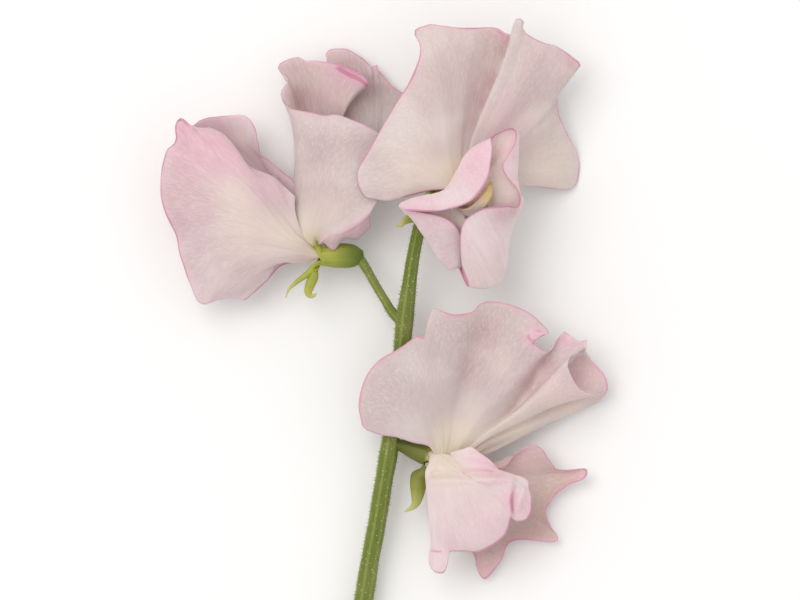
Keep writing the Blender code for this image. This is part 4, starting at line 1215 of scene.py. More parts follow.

# The far wing's body and veil are made paler as painted light, lifting the shadow that the near
# wing casts on it.
grow_petal(
    "left_far_wing_petal", "left_far_wing", CUPS["left"], LEFT_FAR_WING,
    LEFT_FAR_WING_MARGIN, petal_tissue("left far wing tissue", body="#EBD3DA",
                                       veil="#F0DDE2"),
    seed=12, frill=0.12,
    pink=[(-36.0, 36.0, 8.0, 6.0, 0.2)],
    cream_and_light=[(-31.4, 32.6, 5.0, 3.6, 0.35)],
    shade=[(-37.0, 36.0, 7.0, 3.6, 0.15), (-27.6, 27.0, 8.0, 3.0, 0.6),
           (-23.0, 24.0, 8.0, 3.0, 0.35)],
)
grow_petal(
    "left_near_wing_petal", "left_near_wing", CUPS["left"], LEFT_NEAR_WING,
    LEFT_NEAR_WING_MARGIN, petal_tissue("left near wing tissue", body="#C8AFB4",
                                        veil="#D3BFBF", throat_end=0.42),
    seed=13, frill=0.1,
    crests=[[(-43.6, 36.2, 13.2), (-42.6, 35.2, 13.3), (-41.9, 34.2, 13.4),
             (-42.3, 33.2, 13.3)]],
    creases=[([(-43.4, 35.8, 13.2), (-42.5, 35.0, 13.3), (-41.9, 34.2, 13.4),
               (-42.5, 32.9, 13.2), (-44.0, 31.8, 12.4)], 0.55, 0.6),
             ([(-44.1, 34.8, 13.0), (-43.6, 33.6, 13.0)], 0.8, -0.5),
             ([(-40.6, 33.6, 13.6), (-38.0, 32.6, 13.8), (-35.4, 30.8, 13.9)], 0.9, 0.2)],
    turned=[(-40.0, 34.6, 12.8, 2.6, 1.2), (-37.0, 34.2, 12.8, 3.0, 1.8),
            (-34.4, 32.4, 13.0, 3.0, 1.7), (-32.0, 29.0, 13.2, 3.0, 1.4),
            (-29.4, 26.6, 13.0, 3.0, 0.9), (-26.4, 25.2, 12.6, 3.0, 0.5),
            (-23.6, 23.2, 12.2, 2.6, 0.3)],
    bare=[(-37.0, 34.2, 12.0, 3.2, 0.8), (-34.0, 31.8, 12.0, 3.2, 0.9),
          (-31.0, 28.0, 12.0, 3.2, 0.9), (-27.6, 25.6, 12.0, 3.2, 0.9),
          (-23.8, 23.2, 12.0, 3.2, 0.9), (-21.0, 19.6, 11.5, 3.2, 1.0),
          (-20.2, 15.0, 11.2, 3.0, 1.0), (-18.0, 11.0, 10.6, 2.6, 1.0),
          (-19.5, 7.8, 10.2, 3.0, 1.0), (-24.0, 7.4, 10.2, 2.6, 0.9)],
    pink=[(-39.0, 33.0, 13.0, 6.0, 0.75), (-33.0, 29.0, 14.0, 5.0, 0.6),
          (-26.5, 23.0, 13.0, 4.6, 0.34), (-43.0, 24.0, 12.0, 8.0, 0.3),
          (-44.6, 34.0, 13.0, 3.0, 0.4)],
    cream_and_light=[(-34.0, 22.0, 14.0, 4.2, 0.7), (-28.0, 14.0, 13.0, 6.0, 0.5),
           (-33.0, 12.0, 13.0, 6.0, 0.3), (-22.4, 13.4, 11.4, 3.6, 0.6)],
    shade=[(-44.0, 21.0, 12.0, 6.0, 0.34), (-37.0, 30.0, 14.0, 5.0, 0.14),
           (-43.5, 34.2, 13.0, 0.8, 0.45)],
)
grow_petal(
    "left_keel_boat", "left_keel", CUPS["left"], LEFT_KEEL, {},
    petal_tissue("left keel tissue", **PALE_KEEL), seed=14, frill=0.0,
)

# ----------------------------------------------------------------------------------------
# Upper blossom, standard. The broad back petal of the blossom that faces the eye: its right
# half laps over its left in one sharp pleat, and both halves fan out in silky folds.
UPPER_STANDARD = [
    [(10.4, 21.9, 17.1), (9.0, 22.0, 17.6), (6.0, 21.8, 17.6), (2.0, 20.8, 17.0),
     (-2.0, 19.8, 16.2), (-6.0, 20.4, 15.4)],
    [(10.3, 22.1, 17.1), (8.4, 23.2, 17.8), (4.6, 23.6, 18.0), (0.6, 23.2, 17.6),
     (-3.8, 22.8, 16.8), (-8.4, 23.0, 15.6)],
    [(10.3, 22.3, 17.1), (7.8, 24.6, 18.0), (4.0, 26.2, 18.4), (0.0, 27.0, 18.2),
     (-4.0, 27.2, 17.4), (-8.0, 27.0, 16.4)],
    [(10.4, 22.5, 17.2), (7.6, 26.8, 18.1), (4.4, 30.0, 18.6), (1.2, 31.8, 18.6),
     (-2.0, 32.6, 18.0), (-5.0, 32.0, 17.2)],
    [(10.5, 22.6, 17.2), (8.0, 28.8, 18.2), (5.8, 33.6, 18.8), (3.8, 36.8, 18.9),
     (1.6, 38.6, 18.6), (-1.2, 38.6, 17.8)],
    [(10.6, 22.7, 17.2), (8.8, 30.6, 18.3), (7.4, 37.0, 18.8), (6.0, 41.4, 19.0),
     (4.4, 44.4, 18.8), (2.3, 44.6, 18.2)],
    [(10.7, 22.8, 17.2), (9.4, 32.0, 18.3), (8.4, 39.4, 18.6), (7.2, 45.4, 18.8),
     (5.8, 49.0, 18.8), (4.0, 50.2, 18.6)],
    [(10.9, 22.9, 17.2), (10.0, 33.0, 18.2), (9.2, 41.4, 18.3), (8.0, 48.0, 18.6),
     (5.8, 52.2, 18.9), (3.1, 54.1, 19.0)],
    [(11.1, 22.9, 17.2), (10.6, 33.6, 18.0), (10.2, 42.4, 17.8), (9.4, 49.2, 18.2),
     (8.2, 53.0, 18.6), (7.0, 55.0, 18.9)],
    [(11.3, 23.0, 17.1), (11.4, 34.0, 17.7), (11.4, 42.8, 17.4), (11.6, 49.4, 17.8),
     (11.6, 52.8, 18.0), (11.4, 54.4, 18.3)],
    [(11.5, 23.0, 17.1), (12.2, 34.0, 17.1), (13.0, 42.6, 16.6), (14.0, 49.2, 16.9),
     (14.8, 52.6, 17.6), (15.2, 54.4, 17.9)],
    [(11.6, 23.0, 17.0), (13.2, 33.2, 16.2), (15.0, 40.6, 14.9), (17.0, 47.6, 14.7),
     (18.2, 51.8, 15.4), (19.0, 54.5, 17.2)],
    [(11.9, 23.0, 17.0), (14.9, 32.2, 15.8), (17.5, 38.8, 14.4), (20.1, 45.0, 14.0),
     (22.0, 50.2, 14.4), (23.1, 53.0, 16.4)],
    [(12.0, 22.9, 17.0), (14.4, 32.0, 17.3), (16.9, 38.6, 18.0), (19.6, 45.0, 18.5),
     (21.4, 50.0, 18.7), (22.7, 55.0, 18.9)],
    [(12.1, 22.8, 17.0), (15.8, 31.8, 17.2), (19.2, 38.6, 18.0), (21.9, 45.2, 18.4),
     (23.6, 50.2, 18.6), (24.8, 55.0, 18.8)],
    [(12.3, 22.7, 16.9), (17.2, 31.0, 17.0), (21.4, 37.4, 17.8), (25.0, 43.2, 18.0),
     (27.4, 47.8, 17.6), (29.0, 51.3, 16.8)],
    [(12.5, 22.6, 16.8), (18.4, 30.0, 16.4), (23.6, 35.8, 15.6), (28.0, 40.8, 14.2),
     (31.2, 45.0, 13.0), (33.4, 49.6, 12.0)],
    [(12.6, 22.4, 16.6), (19.6, 28.8, 15.8), (25.4, 33.8, 14.2), (29.6, 38.2, 12.0),
     (32.4, 42.2, 10.6), (36.2, 46.9, 10.6)],
    [(12.7, 22.2, 16.5), (20.2, 27.8, 15.0), (25.6, 31.8, 12.6), (29.0, 35.0, 10.2),
     (30.6, 37.4, 8.8), (31.6, 39.8, 8.0)],
    [(12.8, 22.1, 16.3), (20.6, 26.8, 14.2), (26.6, 29.6, 10.8), (30.4, 31.4, 7.4),
     (32.4, 32.6, 5.2), (34.1, 32.6, 3.6)],
    [(12.9, 22.0, 16.1), (20.6, 25.6, 13.4), (26.6, 27.0, 9.6), (31.0, 27.6, 5.6),
     (34.0, 28.0, 2.4), (36.0, 27.8, 0.5)],
    [(12.9, 21.8, 16.0), (20.2, 24.4, 13.0), (26.0, 24.6, 9.4), (30.4, 24.4, 5.6),
     (33.4, 24.0, 2.6), (35.7, 23.8, 0.6)],
    [(13.0, 21.6, 15.8), (18.6, 22.9, 13.0), (23.4, 22.8, 10.2), (28.0, 22.7, 6.6),
     (31.2, 22.3, 3.8), (33.9, 22.2, 1.8)],
]
UPPER_STANDARD_MARGIN = {
    0: [(-7.4, 20.9, 15.2)],
    1: [(-8.6, 25.0, 16.0)],
    3: [(-3.6, 34.6, 17.4)],
    4: [(0.6, 41.4, 18.0)],
    5: [(3.2, 46.6, 18.4), (3.9, 48.6, 18.5)],
    6: [(3.7, 51.6, 18.8), (2.9, 52.9, 18.9)],
    7: [(4.8, 54.7, 19.0), (6.2, 55.1, 19.0)],
    8: [(9.2, 54.7, 18.6)],
    11: [(20.4, 53.8, 17.0), (21.6, 53.1, 16.9)],
    12: [(22.9, 53.4, 17.8), (22.6, 54.2, 18.9)],
    13: [(23.0, 56.0, 19.2), (23.8, 56.3, 19.0), (24.6, 55.8, 18.8)],
    14: [(24.5, 54.2, 18.5), (25.3, 53.2, 18.2), (26.8, 52.3, 17.6)],
    15: [(31.0, 50.9, 14.6)],
    16: [(34.8, 48.5, 11.4), (35.9, 47.7, 10.8)],
    17: [(35.6, 46.2, 10.2), (33.4, 45.3, 9.6), (32.3, 44.6, 9.2), (32.0, 42.4, 8.6)],
    18: [(31.8, 37.6, 6.8), (32.6, 35.5, 5.4)],
    19: [(35.3, 30.4, 1.8)],
    20: [(36.1, 25.8, 0.4)],
    21: [(34.9, 22.7, 1.0)],
}

grow_petal(
    "upper_standard_petal", "upper_standard", CUPS["upper"], UPPER_STANDARD,
    UPPER_STANDARD_MARGIN,
    petal_tissue("upper standard tissue", body="#C7B7B5", veil="#D3C6C2", vein_count=64.0),
    seed=21, frill=0.1,
    crests=[[(18.8, 54.3, 17.0), (20.4, 53.2, 16.4), (22.0, 52.2, 15.6)]],
    bare=[(22.8, 53.2, 18.6, 1.2, 0.6), (22.6, 54.4, 18.8, 0.8, 0.6)],
    pink=[(21.5, 36.0, 17.0, 6.0, 0.22), (30.0, 48.0, 14.0, 5.0, 0.2),
          (20.8, 53.6, 16.6, 1.3, 0.9), (33.6, 49.2, 11.6, 1.6, 0.5)],
    cream_and_light=[(8.0, 24.5, 18.0, 5.0, 0.7), (0.0, 25.0, 17.5, 5.0, 0.35),
           (30.0, 27.0, 6.0, 6.0, 0.7), (17.4, 36.4, 18.2, 2.0, 0.35)],
    shade=[(18.4, 44.6, 14.4, 2.2, 0.5), (16.4, 40.0, 14.8, 2.2, 0.45),
           (20.2, 50.0, 14.6, 2.4, 0.5), (14.6, 36.0, 15.6, 2.0, 0.35),
           (19.6, 30.4, 15.0, 3.0, 0.1), (4.6, 21.0, 17.2, 1.6, 0.2),
           (-3.4, 22.4, 16.8, 3.4, 0.22), (34.4, 47.8, 11.0, 1.4, 0.5),
           (3.0, 20.6, 17.0, 1.4, 0.3), (-1.0, 19.6, 16.2, 1.4, 0.4),
           (-4.6, 20.0, 15.6, 1.4, 0.4)],
)

# ----------------------------------------------------------------------------------------
# Upper blossom, wings and keel. The two wings stand out towards the eye as open pockets
# whose pink rims curl over, with the yellow tip of the keel between them.
UPPER_LEFT_WING = [
    [(9.9, 19.6, 17.7), (13.6, 15.6, 18.6), (13.6, 10.8, 17.2), (12.8, 7.4, 16.2),
     (12.8, 6.8, 16.6), (13.2, 7.6, 17.0)],
    [(9.9, 19.6, 17.7), (10.2, 14.6, 17.6), (9.8, 9.4, 16.6), (9.8, 6.2, 16.8),
     (11.2, 7.2, 17.8), (12.9, 9.4, 17.8)],
    [(9.8, 19.7, 17.7), (9.0, 14.6, 18.0), (7.6, 9.8, 16.8), (7.6, 8.8, 17.8),
     (9.9, 10.2, 18.9), (12.5, 11.8, 18.9)],
    [(9.8, 19.7, 17.7), (8.0, 15.2, 18.6), (5.8, 12.2, 17.2), (6.2, 11.8, 18.4),
     (8.8, 13.0, 20.0), (11.7, 14.2, 20.0)],
    [(9.7, 19.8, 17.8), (7.2, 16.4, 19.2), (4.0, 14.5, 17.8), (4.4, 14.2, 19.0),
     (6.8, 15.2, 20.6), (9.4, 16.2, 21.1)],
    [(9.7, 19.9, 17.8), (6.4, 17.4, 20.0), (2.2, 16.7, 18.4), (2.6, 16.4, 19.8),
     (4.2, 16.9, 20.9), (6.0, 17.2, 21.3)],
    [(9.7, 20.0, 17.8), (5.8, 18.4, 20.4), (1.2, 18.2, 19.0), (-0.1, 18.7, 19.8),
     (0.6, 18.2, 20.8), (1.4, 17.8, 21.4)],
    [(9.6, 20.1, 17.8), (6.0, 19.0, 20.6), (3.0, 19.8, 20.0), (2.0, 20.0, 20.8),
     (2.2, 18.8, 22.0), (2.6, 17.7, 22.4)],
    [(9.6, 20.3, 17.8), (6.8, 19.8, 20.6), (5.6, 20.6, 20.8), (5.0, 20.7, 21.6),
     (5.2, 19.2, 23.0), (6.0, 17.6, 23.4)],
    [(9.6, 20.4, 17.7), (8.0, 20.8, 20.5), (8.0, 21.4, 21.0), (8.0, 21.5, 22.0),
     (8.6, 19.8, 23.6), (9.4, 18.0, 24.2)],
    [(9.6, 20.6, 17.7), (9.2, 22.0, 20.4), (9.8, 22.6, 21.0), (10.2, 22.7, 22.0),
     (11.4, 21.0, 24.2), (12.6, 18.9, 25.0)],
    [(9.6, 20.8, 17.7), (10.2, 23.4, 20.4), (11.0, 24.6, 21.2), (11.4, 25.0, 22.2),
     (13.0, 23.4, 24.8), (15.2, 20.6, 25.8)],
    [(9.7, 20.9, 17.6), (11.0, 25.0, 20.6), (12.2, 27.2, 21.6), (12.8, 28.2, 22.4),
     (15.0, 26.6, 25.0), (17.4, 24.0, 26.0)],
    [(9.8, 21.0, 17.5), (11.8, 26.8, 21.0), (13.6, 29.2, 22.0), (14.6, 30.4, 22.6),
     (16.4, 29.4, 24.6), (18.1, 27.6, 25.6)],
    [(9.8, 21.0, 17.5), (12.6, 28.0, 21.2), (15.0, 30.6, 22.4), (16.4, 31.6, 22.8),
     (17.4, 32.2, 23.6), (18.1, 32.7, 24.2)],
]
UPPER_LEFT_WING_MARGIN = {
    13: [(18.3, 30.2, 25.0)],
}
UPPER_RIGHT_WING = [
    [(11.6, 19.4, 16.0), (9.8, 14.6, 15.2), (11.0, 8.6, 14.8), (13.2, 3.0, 15.4),
     (12.7, 5.0, 17.2), (12.3, 7.4, 18.4)],
    [(11.8, 19.5, 16.0), (12.4, 13.6, 14.6), (14.2, 7.6, 13.9), (15.6, 2.4, 15.0),
     (14.0, 6.4, 18.6), (12.0, 10.4, 20.2)],
    [(12.0, 19.6, 16.0), (15.0, 13.2, 14.0), (16.8, 7.4, 13.6), (18.0, 2.6, 15.0),
     (15.4, 8.4, 20.0), (12.2, 14.2, 21.6)],
    [(12.0, 19.7, 16.0), (16.4, 13.4, 13.8), (18.8, 8.2, 13.8), (20.2, 3.5, 15.0),
     (17.4, 10.0, 21.0), (13.4, 16.4, 22.6)],
    [(12.0, 19.7, 16.2), (17.6, 14.0, 15.4), (20.0, 9.6, 15.0), (21.1, 6.6, 15.4),
     (19.0, 12.4, 21.0), (16.0, 18.0, 23.0)],
    [(12.0, 19.8, 16.4), (18.8, 14.8, 16.4), (21.0, 11.8, 16.0), (21.6, 11.0, 16.0),
     (20.4, 14.6, 20.8), (18.6, 18.6, 22.4)],
    [(12.0, 19.9, 16.6), (19.6, 16.6, 17.2), (22.2, 14.8, 17.0), (22.5, 15.0, 17.6),
     (22.0, 16.8, 20.0), (21.2, 18.8, 21.6)],
    [(11.9, 20.1, 16.8), (20.0, 18.6, 18.2), (24.0, 19.0, 18.2), (24.6, 19.5, 18.8),
     (24.2, 19.0, 19.6), (23.4, 18.7, 20.4)],
    [(11.9, 20.2, 16.8), (20.0, 20.8, 19.0), (23.4, 21.2, 19.2), (24.0, 21.2, 19.4),
     (23.8, 21.4, 20.4), (23.4, 21.9, 21.0)],
    [(11.9, 20.3, 16.8), (19.6, 22.8, 19.8), (22.6, 23.6, 20.2), (23.3, 24.0, 20.4),
     (22.4, 24.2, 22.0), (21.0, 24.9, 23.0)],
    [(11.8, 20.4, 16.8), (19.2, 24.8, 20.2), (22.4, 26.4, 20.8), (23.4, 26.8, 21.2),
     (22.0, 26.6, 23.0), (20.4, 26.6, 23.8)],
    [(11.8, 20.5, 16.8), (18.8, 26.6, 20.6), (22.4, 29.0, 21.4), (23.6, 30.0, 21.8),
     (22.6, 29.4, 23.2), (21.2, 28.4, 24.0)],
    [(11.8, 20.5, 16.2), (18.4, 28.0, 19.8), (21.8, 32.0, 21.2), (23.6, 33.0, 22.0),
     (23.4, 32.4, 22.9), (22.8, 31.2, 23.4)],
    [(11.7, 20.6, 16.2), (18.0, 28.8, 20.0), (20.2, 32.6, 21.6), (21.2, 33.8, 22.2),
     (21.4, 34.0, 22.6), (21.5, 34.2, 22.9)],
    [(11.7, 20.6, 16.2), (17.6, 28.6, 20.2), (18.8, 31.6, 21.6), (19.1, 32.8, 22.2),
     (19.2, 33.0, 22.6), (19.2, 33.1, 22.9)],
    [(11.7, 20.6, 16.2), (16.4, 26.4, 20.0), (17.4, 29.4, 21.2), (17.8, 31.0, 21.8),
     (18.0, 31.8, 22.2), (18.1, 32.3, 22.5)],
]
UPPER_RIGHT_WING_MARGIN = {
    12: [(23.1, 33.6, 23.2), (22.5, 34.2, 23.0)],
}
UPPER_KEEL = [
    [(10.4, 19.1, 17.2), (12.4, 18.2, 20.4), (14.4, 19.0, 22.0), (16.6, 21.4, 22.8),
     (18.0, 23.8, 22.6)],
    [(10.4, 18.9, 16.9), (13.0, 17.0, 19.0), (15.4, 17.4, 20.8), (17.2, 20.0, 22.4),
     (18.1, 23.4, 22.6)],
    [(10.6, 18.8, 16.7), (13.8, 17.0, 18.2), (16.4, 17.8, 20.0), (18.0, 20.4, 22.0),
     (18.3, 23.2, 22.5)],
    [(10.8, 19.0, 16.6), (14.2, 18.2, 18.8), (16.6, 19.2, 20.4), (18.0, 21.0, 22.0),
     (18.4, 23.4, 22.5)],
    [(10.9, 19.3, 16.7), (13.8, 19.2, 20.0), (15.8, 20.4, 21.4), (17.4, 22.0, 22.4),
     (18.3, 23.8, 22.6)],
]

# The wings' throats are near-white cream. They are cream tissue, painted paler still as painted
# light in the shaded pockets.
grow_petal(
    "upper_left_wing_petal", "upper_left_wing", CUPS["upper"], UPPER_LEFT_WING,
    UPPER_LEFT_WING_MARGIN,
    petal_tissue("upper left wing tissue", body="#DABFC3", veil="#E2CDCF", throat="#F4EADB",
                 throat_end=0.8, vein_count=30.0),
    seed=22, frill=0.06,
    pink=[(14.6, 26.0, 24.0, 4.0, 0.5), (6.0, 19.0, 22.6, 4.0, 0.3),
          (16.6, 29.6, 24.0, 3.2, 0.5), (1.6, 18.6, 21.0, 3.0, 0.4),
          (8.6, 15.2, 20.0, 2.4, 0.25)],
    cream_and_light=[(12.0, 16.6, 18.0, 3.0, 0.3)],
    shade=[(9.0, 8.4, 17.4, 3.0, 0.25), (7.0, 12.6, 18.0, 2.4, 0.2)],
)
grow_petal(
    "upper_right_wing_petal", "upper_right_wing", CUPS["upper"], UPPER_RIGHT_WING,
    UPPER_RIGHT_WING_MARGIN,
    petal_tissue("upper right wing tissue", body="#DCC2C5", veil="#E4CFD0", throat="#F7EDE0",
                 throat_end=0.95, vein_count=30.0),
    seed=23, frill=0.06,
    pink=[(22.6, 29.6, 23.0, 3.0, 0.5), (22.6, 23.6, 21.4, 2.6, 0.3),
          (20.4, 10.0, 19.0, 4.4, 0.2), (20.6, 18.0, 22.0, 2.4, 0.3),
          (14.0, 12.0, 21.0, 3.0, 0.2)],
    cream_and_light=[(15.0, 7.0, 18.0, 5.0, 0.2)],
    shade=[(20.0, 17.2, 22.0, 2.0, 0.5), (22.6, 17.6, 20.6, 1.4, 0.4)],
)
grow_petal(
    "upper_keel_boat", "upper_keel", CUPS["upper"], UPPER_KEEL, {},
    petal_tissue("upper keel tissue", body="#E6C052", veil="#EACB6E", throat="#DDCB7C",
                 picotee="#D39A4E", vein_count=14.0),
    seed=24, frill=0.0,
    cream_and_light=[(12.4, 18.2, 20.0, 3.0, 1.0), (14.8, 18.6, 20.4, 2.6, 0.9)],
)

# ----------------------------------------------------------------------------------------
# Lower blossom, standard. Its broad back petal spreads to the left in a flat lobe and is
# pleated into a funnel on the right, where the tissue doubles back behind itself.
LOWER_STANDARD = [
    [(6.8, -31.4, 10.0), (5.8, -29.4, 11.6), (2.6, -28.6, 11.8), (-0.6, -27.6, 11.4),
     (-3.8, -27.1, 11.2), (-6.6, -26.2, 10.8)],
    [(7.0, -31.4, 9.9), (5.6, -28.2, 12.0), (2.0, -26.8, 12.2), (-1.8, -25.6, 12.0),
     (-5.0, -24.8, 11.6), (-7.9, -23.8, 11.0)],
    [(7.2, -31.4, 9.9), (5.4, -26.8, 12.4), (1.8, -24.2, 12.8), (-2.0, -22.0, 12.6),
     (-5.4, -20.2, 12.0), (-8.0, -18.6, 11.4)],
    [(7.5, -31.5, 9.8), (5.6, -25.6, 12.6), (2.4, -21.6, 13.2), (-0.8, -18.0, 13.2),
     (-3.4, -15.0, 12.8), (-5.2, -13.0, 12.2)],
    [(7.7, -31.5, 9.8), (6.0, -24.6, 12.8), (3.4, -19.6, 13.6), (0.8, -15.2, 13.8),
     (-0.6, -12.2, 13.4), (-1.2, -10.3, 13.0)],
    [(7.9, -31.5, 9.8), (6.4, -23.6, 12.9), (4.6, -17.8, 13.8), (3.4, -12.8, 14.2),
     (3.1, -9.4, 13.9), (3.4, -7.2, 13.6)],
    [(8.1, -31.5, 9.7), (7.0, -22.8, 12.9), (5.8, -16.4, 13.8), (5.2, -11.4, 14.2),
     (5.0, -8.8, 14.0), (4.9, -7.4, 13.8)],
    [(8.3, -31.6, 9.7), (7.8, -22.2, 12.8), (7.4, -15.0, 13.6), (6.8, -8.6, 14.2),
     (6.6, -4.4, 14.4), (6.8, -1.6, 14.4)],
    [(8.5, -31.6, 9.6), (8.8, -21.8, 12.6), (9.2, -14.4, 13.2), (9.6, -8.0, 13.8),
     (10.0, -4.6, 13.8), (10.4, -2.8, 13.9)],
    [(8.8, -31.6, 9.6), (10.0, -21.6, 12.2), (11.4, -14.2, 12.4), (12.8, -8.0, 12.8),
     (13.8, -4.6, 13.0), (14.6, -2.3, 13.2)],
    [(9.0, -31.6, 9.5), (11.4, -21.6, 11.6), (14.0, -14.4, 11.0), (16.4, -8.0, 11.0),
     (17.8, -4.0, 11.8), (18.6, -0.3, 12.8)],
    [(9.2, -31.7, 9.5), (12.8, -22.0, 11.6), (16.6, -15.4, 11.8), (20.0, -9.0, 12.2),
     (22.4, -4.6, 12.6), (24.0, -1.6, 12.8)],
    [(9.4, -31.7, 9.4), (14.0, -22.6, 12.0), (18.8, -16.4, 12.8), (23.0, -10.8, 13.2),
     (26.4, -7.4, 13.2), (29.9, -6.5, 12.6)],
    [(9.6, -31.7, 9.3), (14.8, -23.2, 12.2), (20.0, -17.6, 13.0), (24.0, -12.8, 13.2),
     (25.8, -9.8, 13.2), (26.7, -8.2, 13.4)],
    [(9.8, -31.8, 9.3), (15.6, -24.0, 12.2), (21.0, -19.0, 12.8), (25.2, -14.4, 12.8),
     (27.8, -11.6, 12.6), (29.8, -10.4, 12.4)],
    [(10.1, -31.8, 9.2), (16.8, -26.2, 10.8), (22.0, -22.4, 10.0), (25.4, -18.2, 9.6),
     (28.8, -12.8, 9.8), (33.2, -6.1, 11.8)],
    [(10.3, -31.8, 9.2), (17.0, -26.8, 10.8), (23.4, -22.2, 11.6), (28.0, -17.8, 12.4),
     (31.6, -13.8, 12.8), (34.5, -10.9, 12.8)],
    [(10.5, -31.8, 9.2), (17.2, -27.0, 10.9), (24.0, -22.6, 12.0), (28.8, -18.8, 12.8),
     (31.8, -15.8, 13.3), (33.6, -13.4, 13.4)],
    [(10.7, -31.9, 9.1), (17.4, -27.4, 10.8), (24.6, -23.2, 11.6), (29.6, -20.2, 12.2),
     (33.0, -18.4, 12.5), (35.6, -17.4, 12.4)],
    [(10.9, -31.9, 9.1), (17.6, -27.8, 10.4), (25.0, -24.2, 10.2), (30.6, -21.4, 10.2),
     (35.4, -19.9, 10.2), (40.6, -18.9, 9.8)],
    [(11.1, -31.9, 9.0), (17.2, -27.8, 9.4), (23.8, -24.0, 8.6), (28.6, -19.6, 8.0),
     (31.4, -15.2, 8.0), (33.0, -11.8, 8.4)],
    [(11.3, -31.9, 9.0), (17.8, -28.2, 9.0), (25.6, -24.0, 7.4), (31.8, -19.6, 6.6),
     (35.6, -15.0, 6.6), (38.2, -11.6, 7.2)],
    [(11.6, -31.9, 8.9), (18.0, -28.6, 8.8), (26.4, -25.0, 7.0), (33.4, -21.6, 6.0),
     (38.2, -19.0, 5.8), (41.8, -17.2, 6.0)],
    [(11.8, -32.0, 8.9), (17.8, -29.4, 8.2), (25.6, -26.4, 6.2), (32.0, -23.6, 4.4),
     (36.6, -21.8, 3.0), (40.2, -20.2, 2.4)],
    [(12.0, -32.0, 8.8), (13.6, -31.4, 7.8), (17.8, -30.8, 7.0), (22.4, -27.8, 5.6),
     (29.0, -25.3, 3.2), (36.4, -22.1, 0.7)],
]
LOWER_STANDARD_MARGIN = {
    0: [(-7.6, -25.2, 10.9)],
    1: [(-8.3, -21.4, 11.2)],
    2: [(-7.0, -15.6, 11.8)],
    3: [(-3.4, -11.5, 12.6)],
    4: [(1.0, -8.8, 13.3)],
    5: [(4.3, -7.4, 13.7)],
    6: [(5.2, -5.6, 14.1), (6.0, -3.0, 14.3)],
    7: [(8.0, -2.0, 14.2)],
    8: [(12.6, -2.7, 13.6)],
    9: [(15.4, -1.2, 13.0), (16.8, -0.4, 12.8)],
    10: [(21.0, -0.6, 12.8)],
    11: [(26.6, -3.0, 12.8), (28.6, -5.0, 12.9)],
    12: [(28.6, -7.2, 13.2)],
    13: [(27.8, -9.4, 13.0), (28.8, -10.3, 12.6)],
    14: [(30.6, -9.7, 12.2), (31.6, -7.6, 12.0)],
    15: [(34.4, -7.4, 11.6), (35.8, -8.3, 11.8), (36.6, -7.3, 12.0), (37.8, -8.4, 12.2),
         (37.6, -9.6, 12.4), (36.0, -10.2, 12.6)],
    18: [(37.6, -18.7, 11.6), (39.4, -19.0, 10.8)],
    19: [(38.0, -18.8, 8.8), (35.2, -17.2, 8.4), (33.6, -14.6, 8.3)],
    20: [(33.8, -10.2, 8.2), (35.4, -9.4, 7.8), (37.0, -10.0, 7.5)],
    21: [(39.8, -13.6, 6.8), (41.2, -15.2, 6.4)],
    22: [(41.6, -18.6, 4.6)],
    23: [(38.6, -21.1, 1.2)],
}

grow_petal(
    "lower_standard_petal", "lower_standard", CUPS["lower"], LOWER_STANDARD,
    LOWER_STANDARD_MARGIN,
    petal_tissue("lower standard tissue", body="#C0B2B0", veil="#CCBFBC", vein_count=60.0,
                 picotee="#D093A9", picotee_width=0.44),
    seed=31, frill=0.1,
    pink=[(20.0, -15.0, 12.0, 6.0, 0.08), (29.0, -17.0, 12.6, 6.0, 0.3),
          (36.0, -14.6, 6.6, 4.4, 0.3), (40.6, -15.0, 6.4, 2.6, 0.3),
          (27.6, -7.4, 13.2, 2.2, 0.9), (34.0, -7.4, 12.0, 2.6, 0.5),
          (36.4, -19.0, 10.0, 3.0, 0.3), (32.8, -8.4, 12.1, 1.4, 0.6),
          (37.0, -8.4, 12.2, 1.0, 0.8)],
    cream_and_light=[(10.0, -27.0, 11.0, 4.6, 0.6), (17.0, -28.6, 9.0, 5.0, 0.5),
           (24.0, -25.0, 8.4, 4.6, 0.9), (29.0, -18.0, 12.6, 4.0, 0.5),
           (34.0, -21.6, 6.0, 4.6, 0.8), (20.0, -13.0, 12.4, 2.6, 0.4),
           (38.6, -14.6, 6.6, 3.2, 0.5)],
    crests=[[(29.8, -6.6, 12.6), (28.0, -6.3, 13.0), (26.9, -6.0, 13.2), (26.0, -6.5, 13.2),
             (25.8, -7.5, 13.3), (26.7, -8.3, 13.4)],
            [(31.4, -10.0, 12.4), (32.2, -8.4, 12.1), (33.1, -7.0, 12.0), (33.8, -8.4, 12.1),
             (32.6, -9.4, 12.3)],
            [(36.0, -8.2, 12.0), (37.0, -7.4, 12.1), (37.8, -8.6, 12.3), (36.8, -9.4, 12.4)]],
    creases=[([(28.6, -6.8, 12.9), (27.2, -6.6, 13.1), (26.4, -7.2, 13.2)], 0.8, 0.7),
             ([(32.2, -8.6, 12.1), (33.1, -7.4, 12.0), (33.8, -8.4, 12.1)], 0.5, 0.5),
             ([(36.4, -8.2, 12.1), (37.2, -8.0, 12.2), (37.2, -9.0, 12.4)], 0.5, 0.6)],
    bare=[(33.4, -13.0, 8.3, 3.0, 1.0), (35.6, -17.6, 8.4, 2.4, 1.0),
          (35.0, -9.6, 8.0, 2.2, 1.0)],
    shade=[(17.4, -7.0, 11.4, 4.4, 0.6), (14.2, -14.4, 11.2, 3.0, 0.4),
           (18.0, -22.0, 11.0, 2.4, 0.2), (26.0, -16.8, 9.6, 2.0, 0.4),
           (29.4, -12.4, 9.8, 2.0, 0.45), (22.4, -21.8, 10.0, 1.8, 0.35)],
)

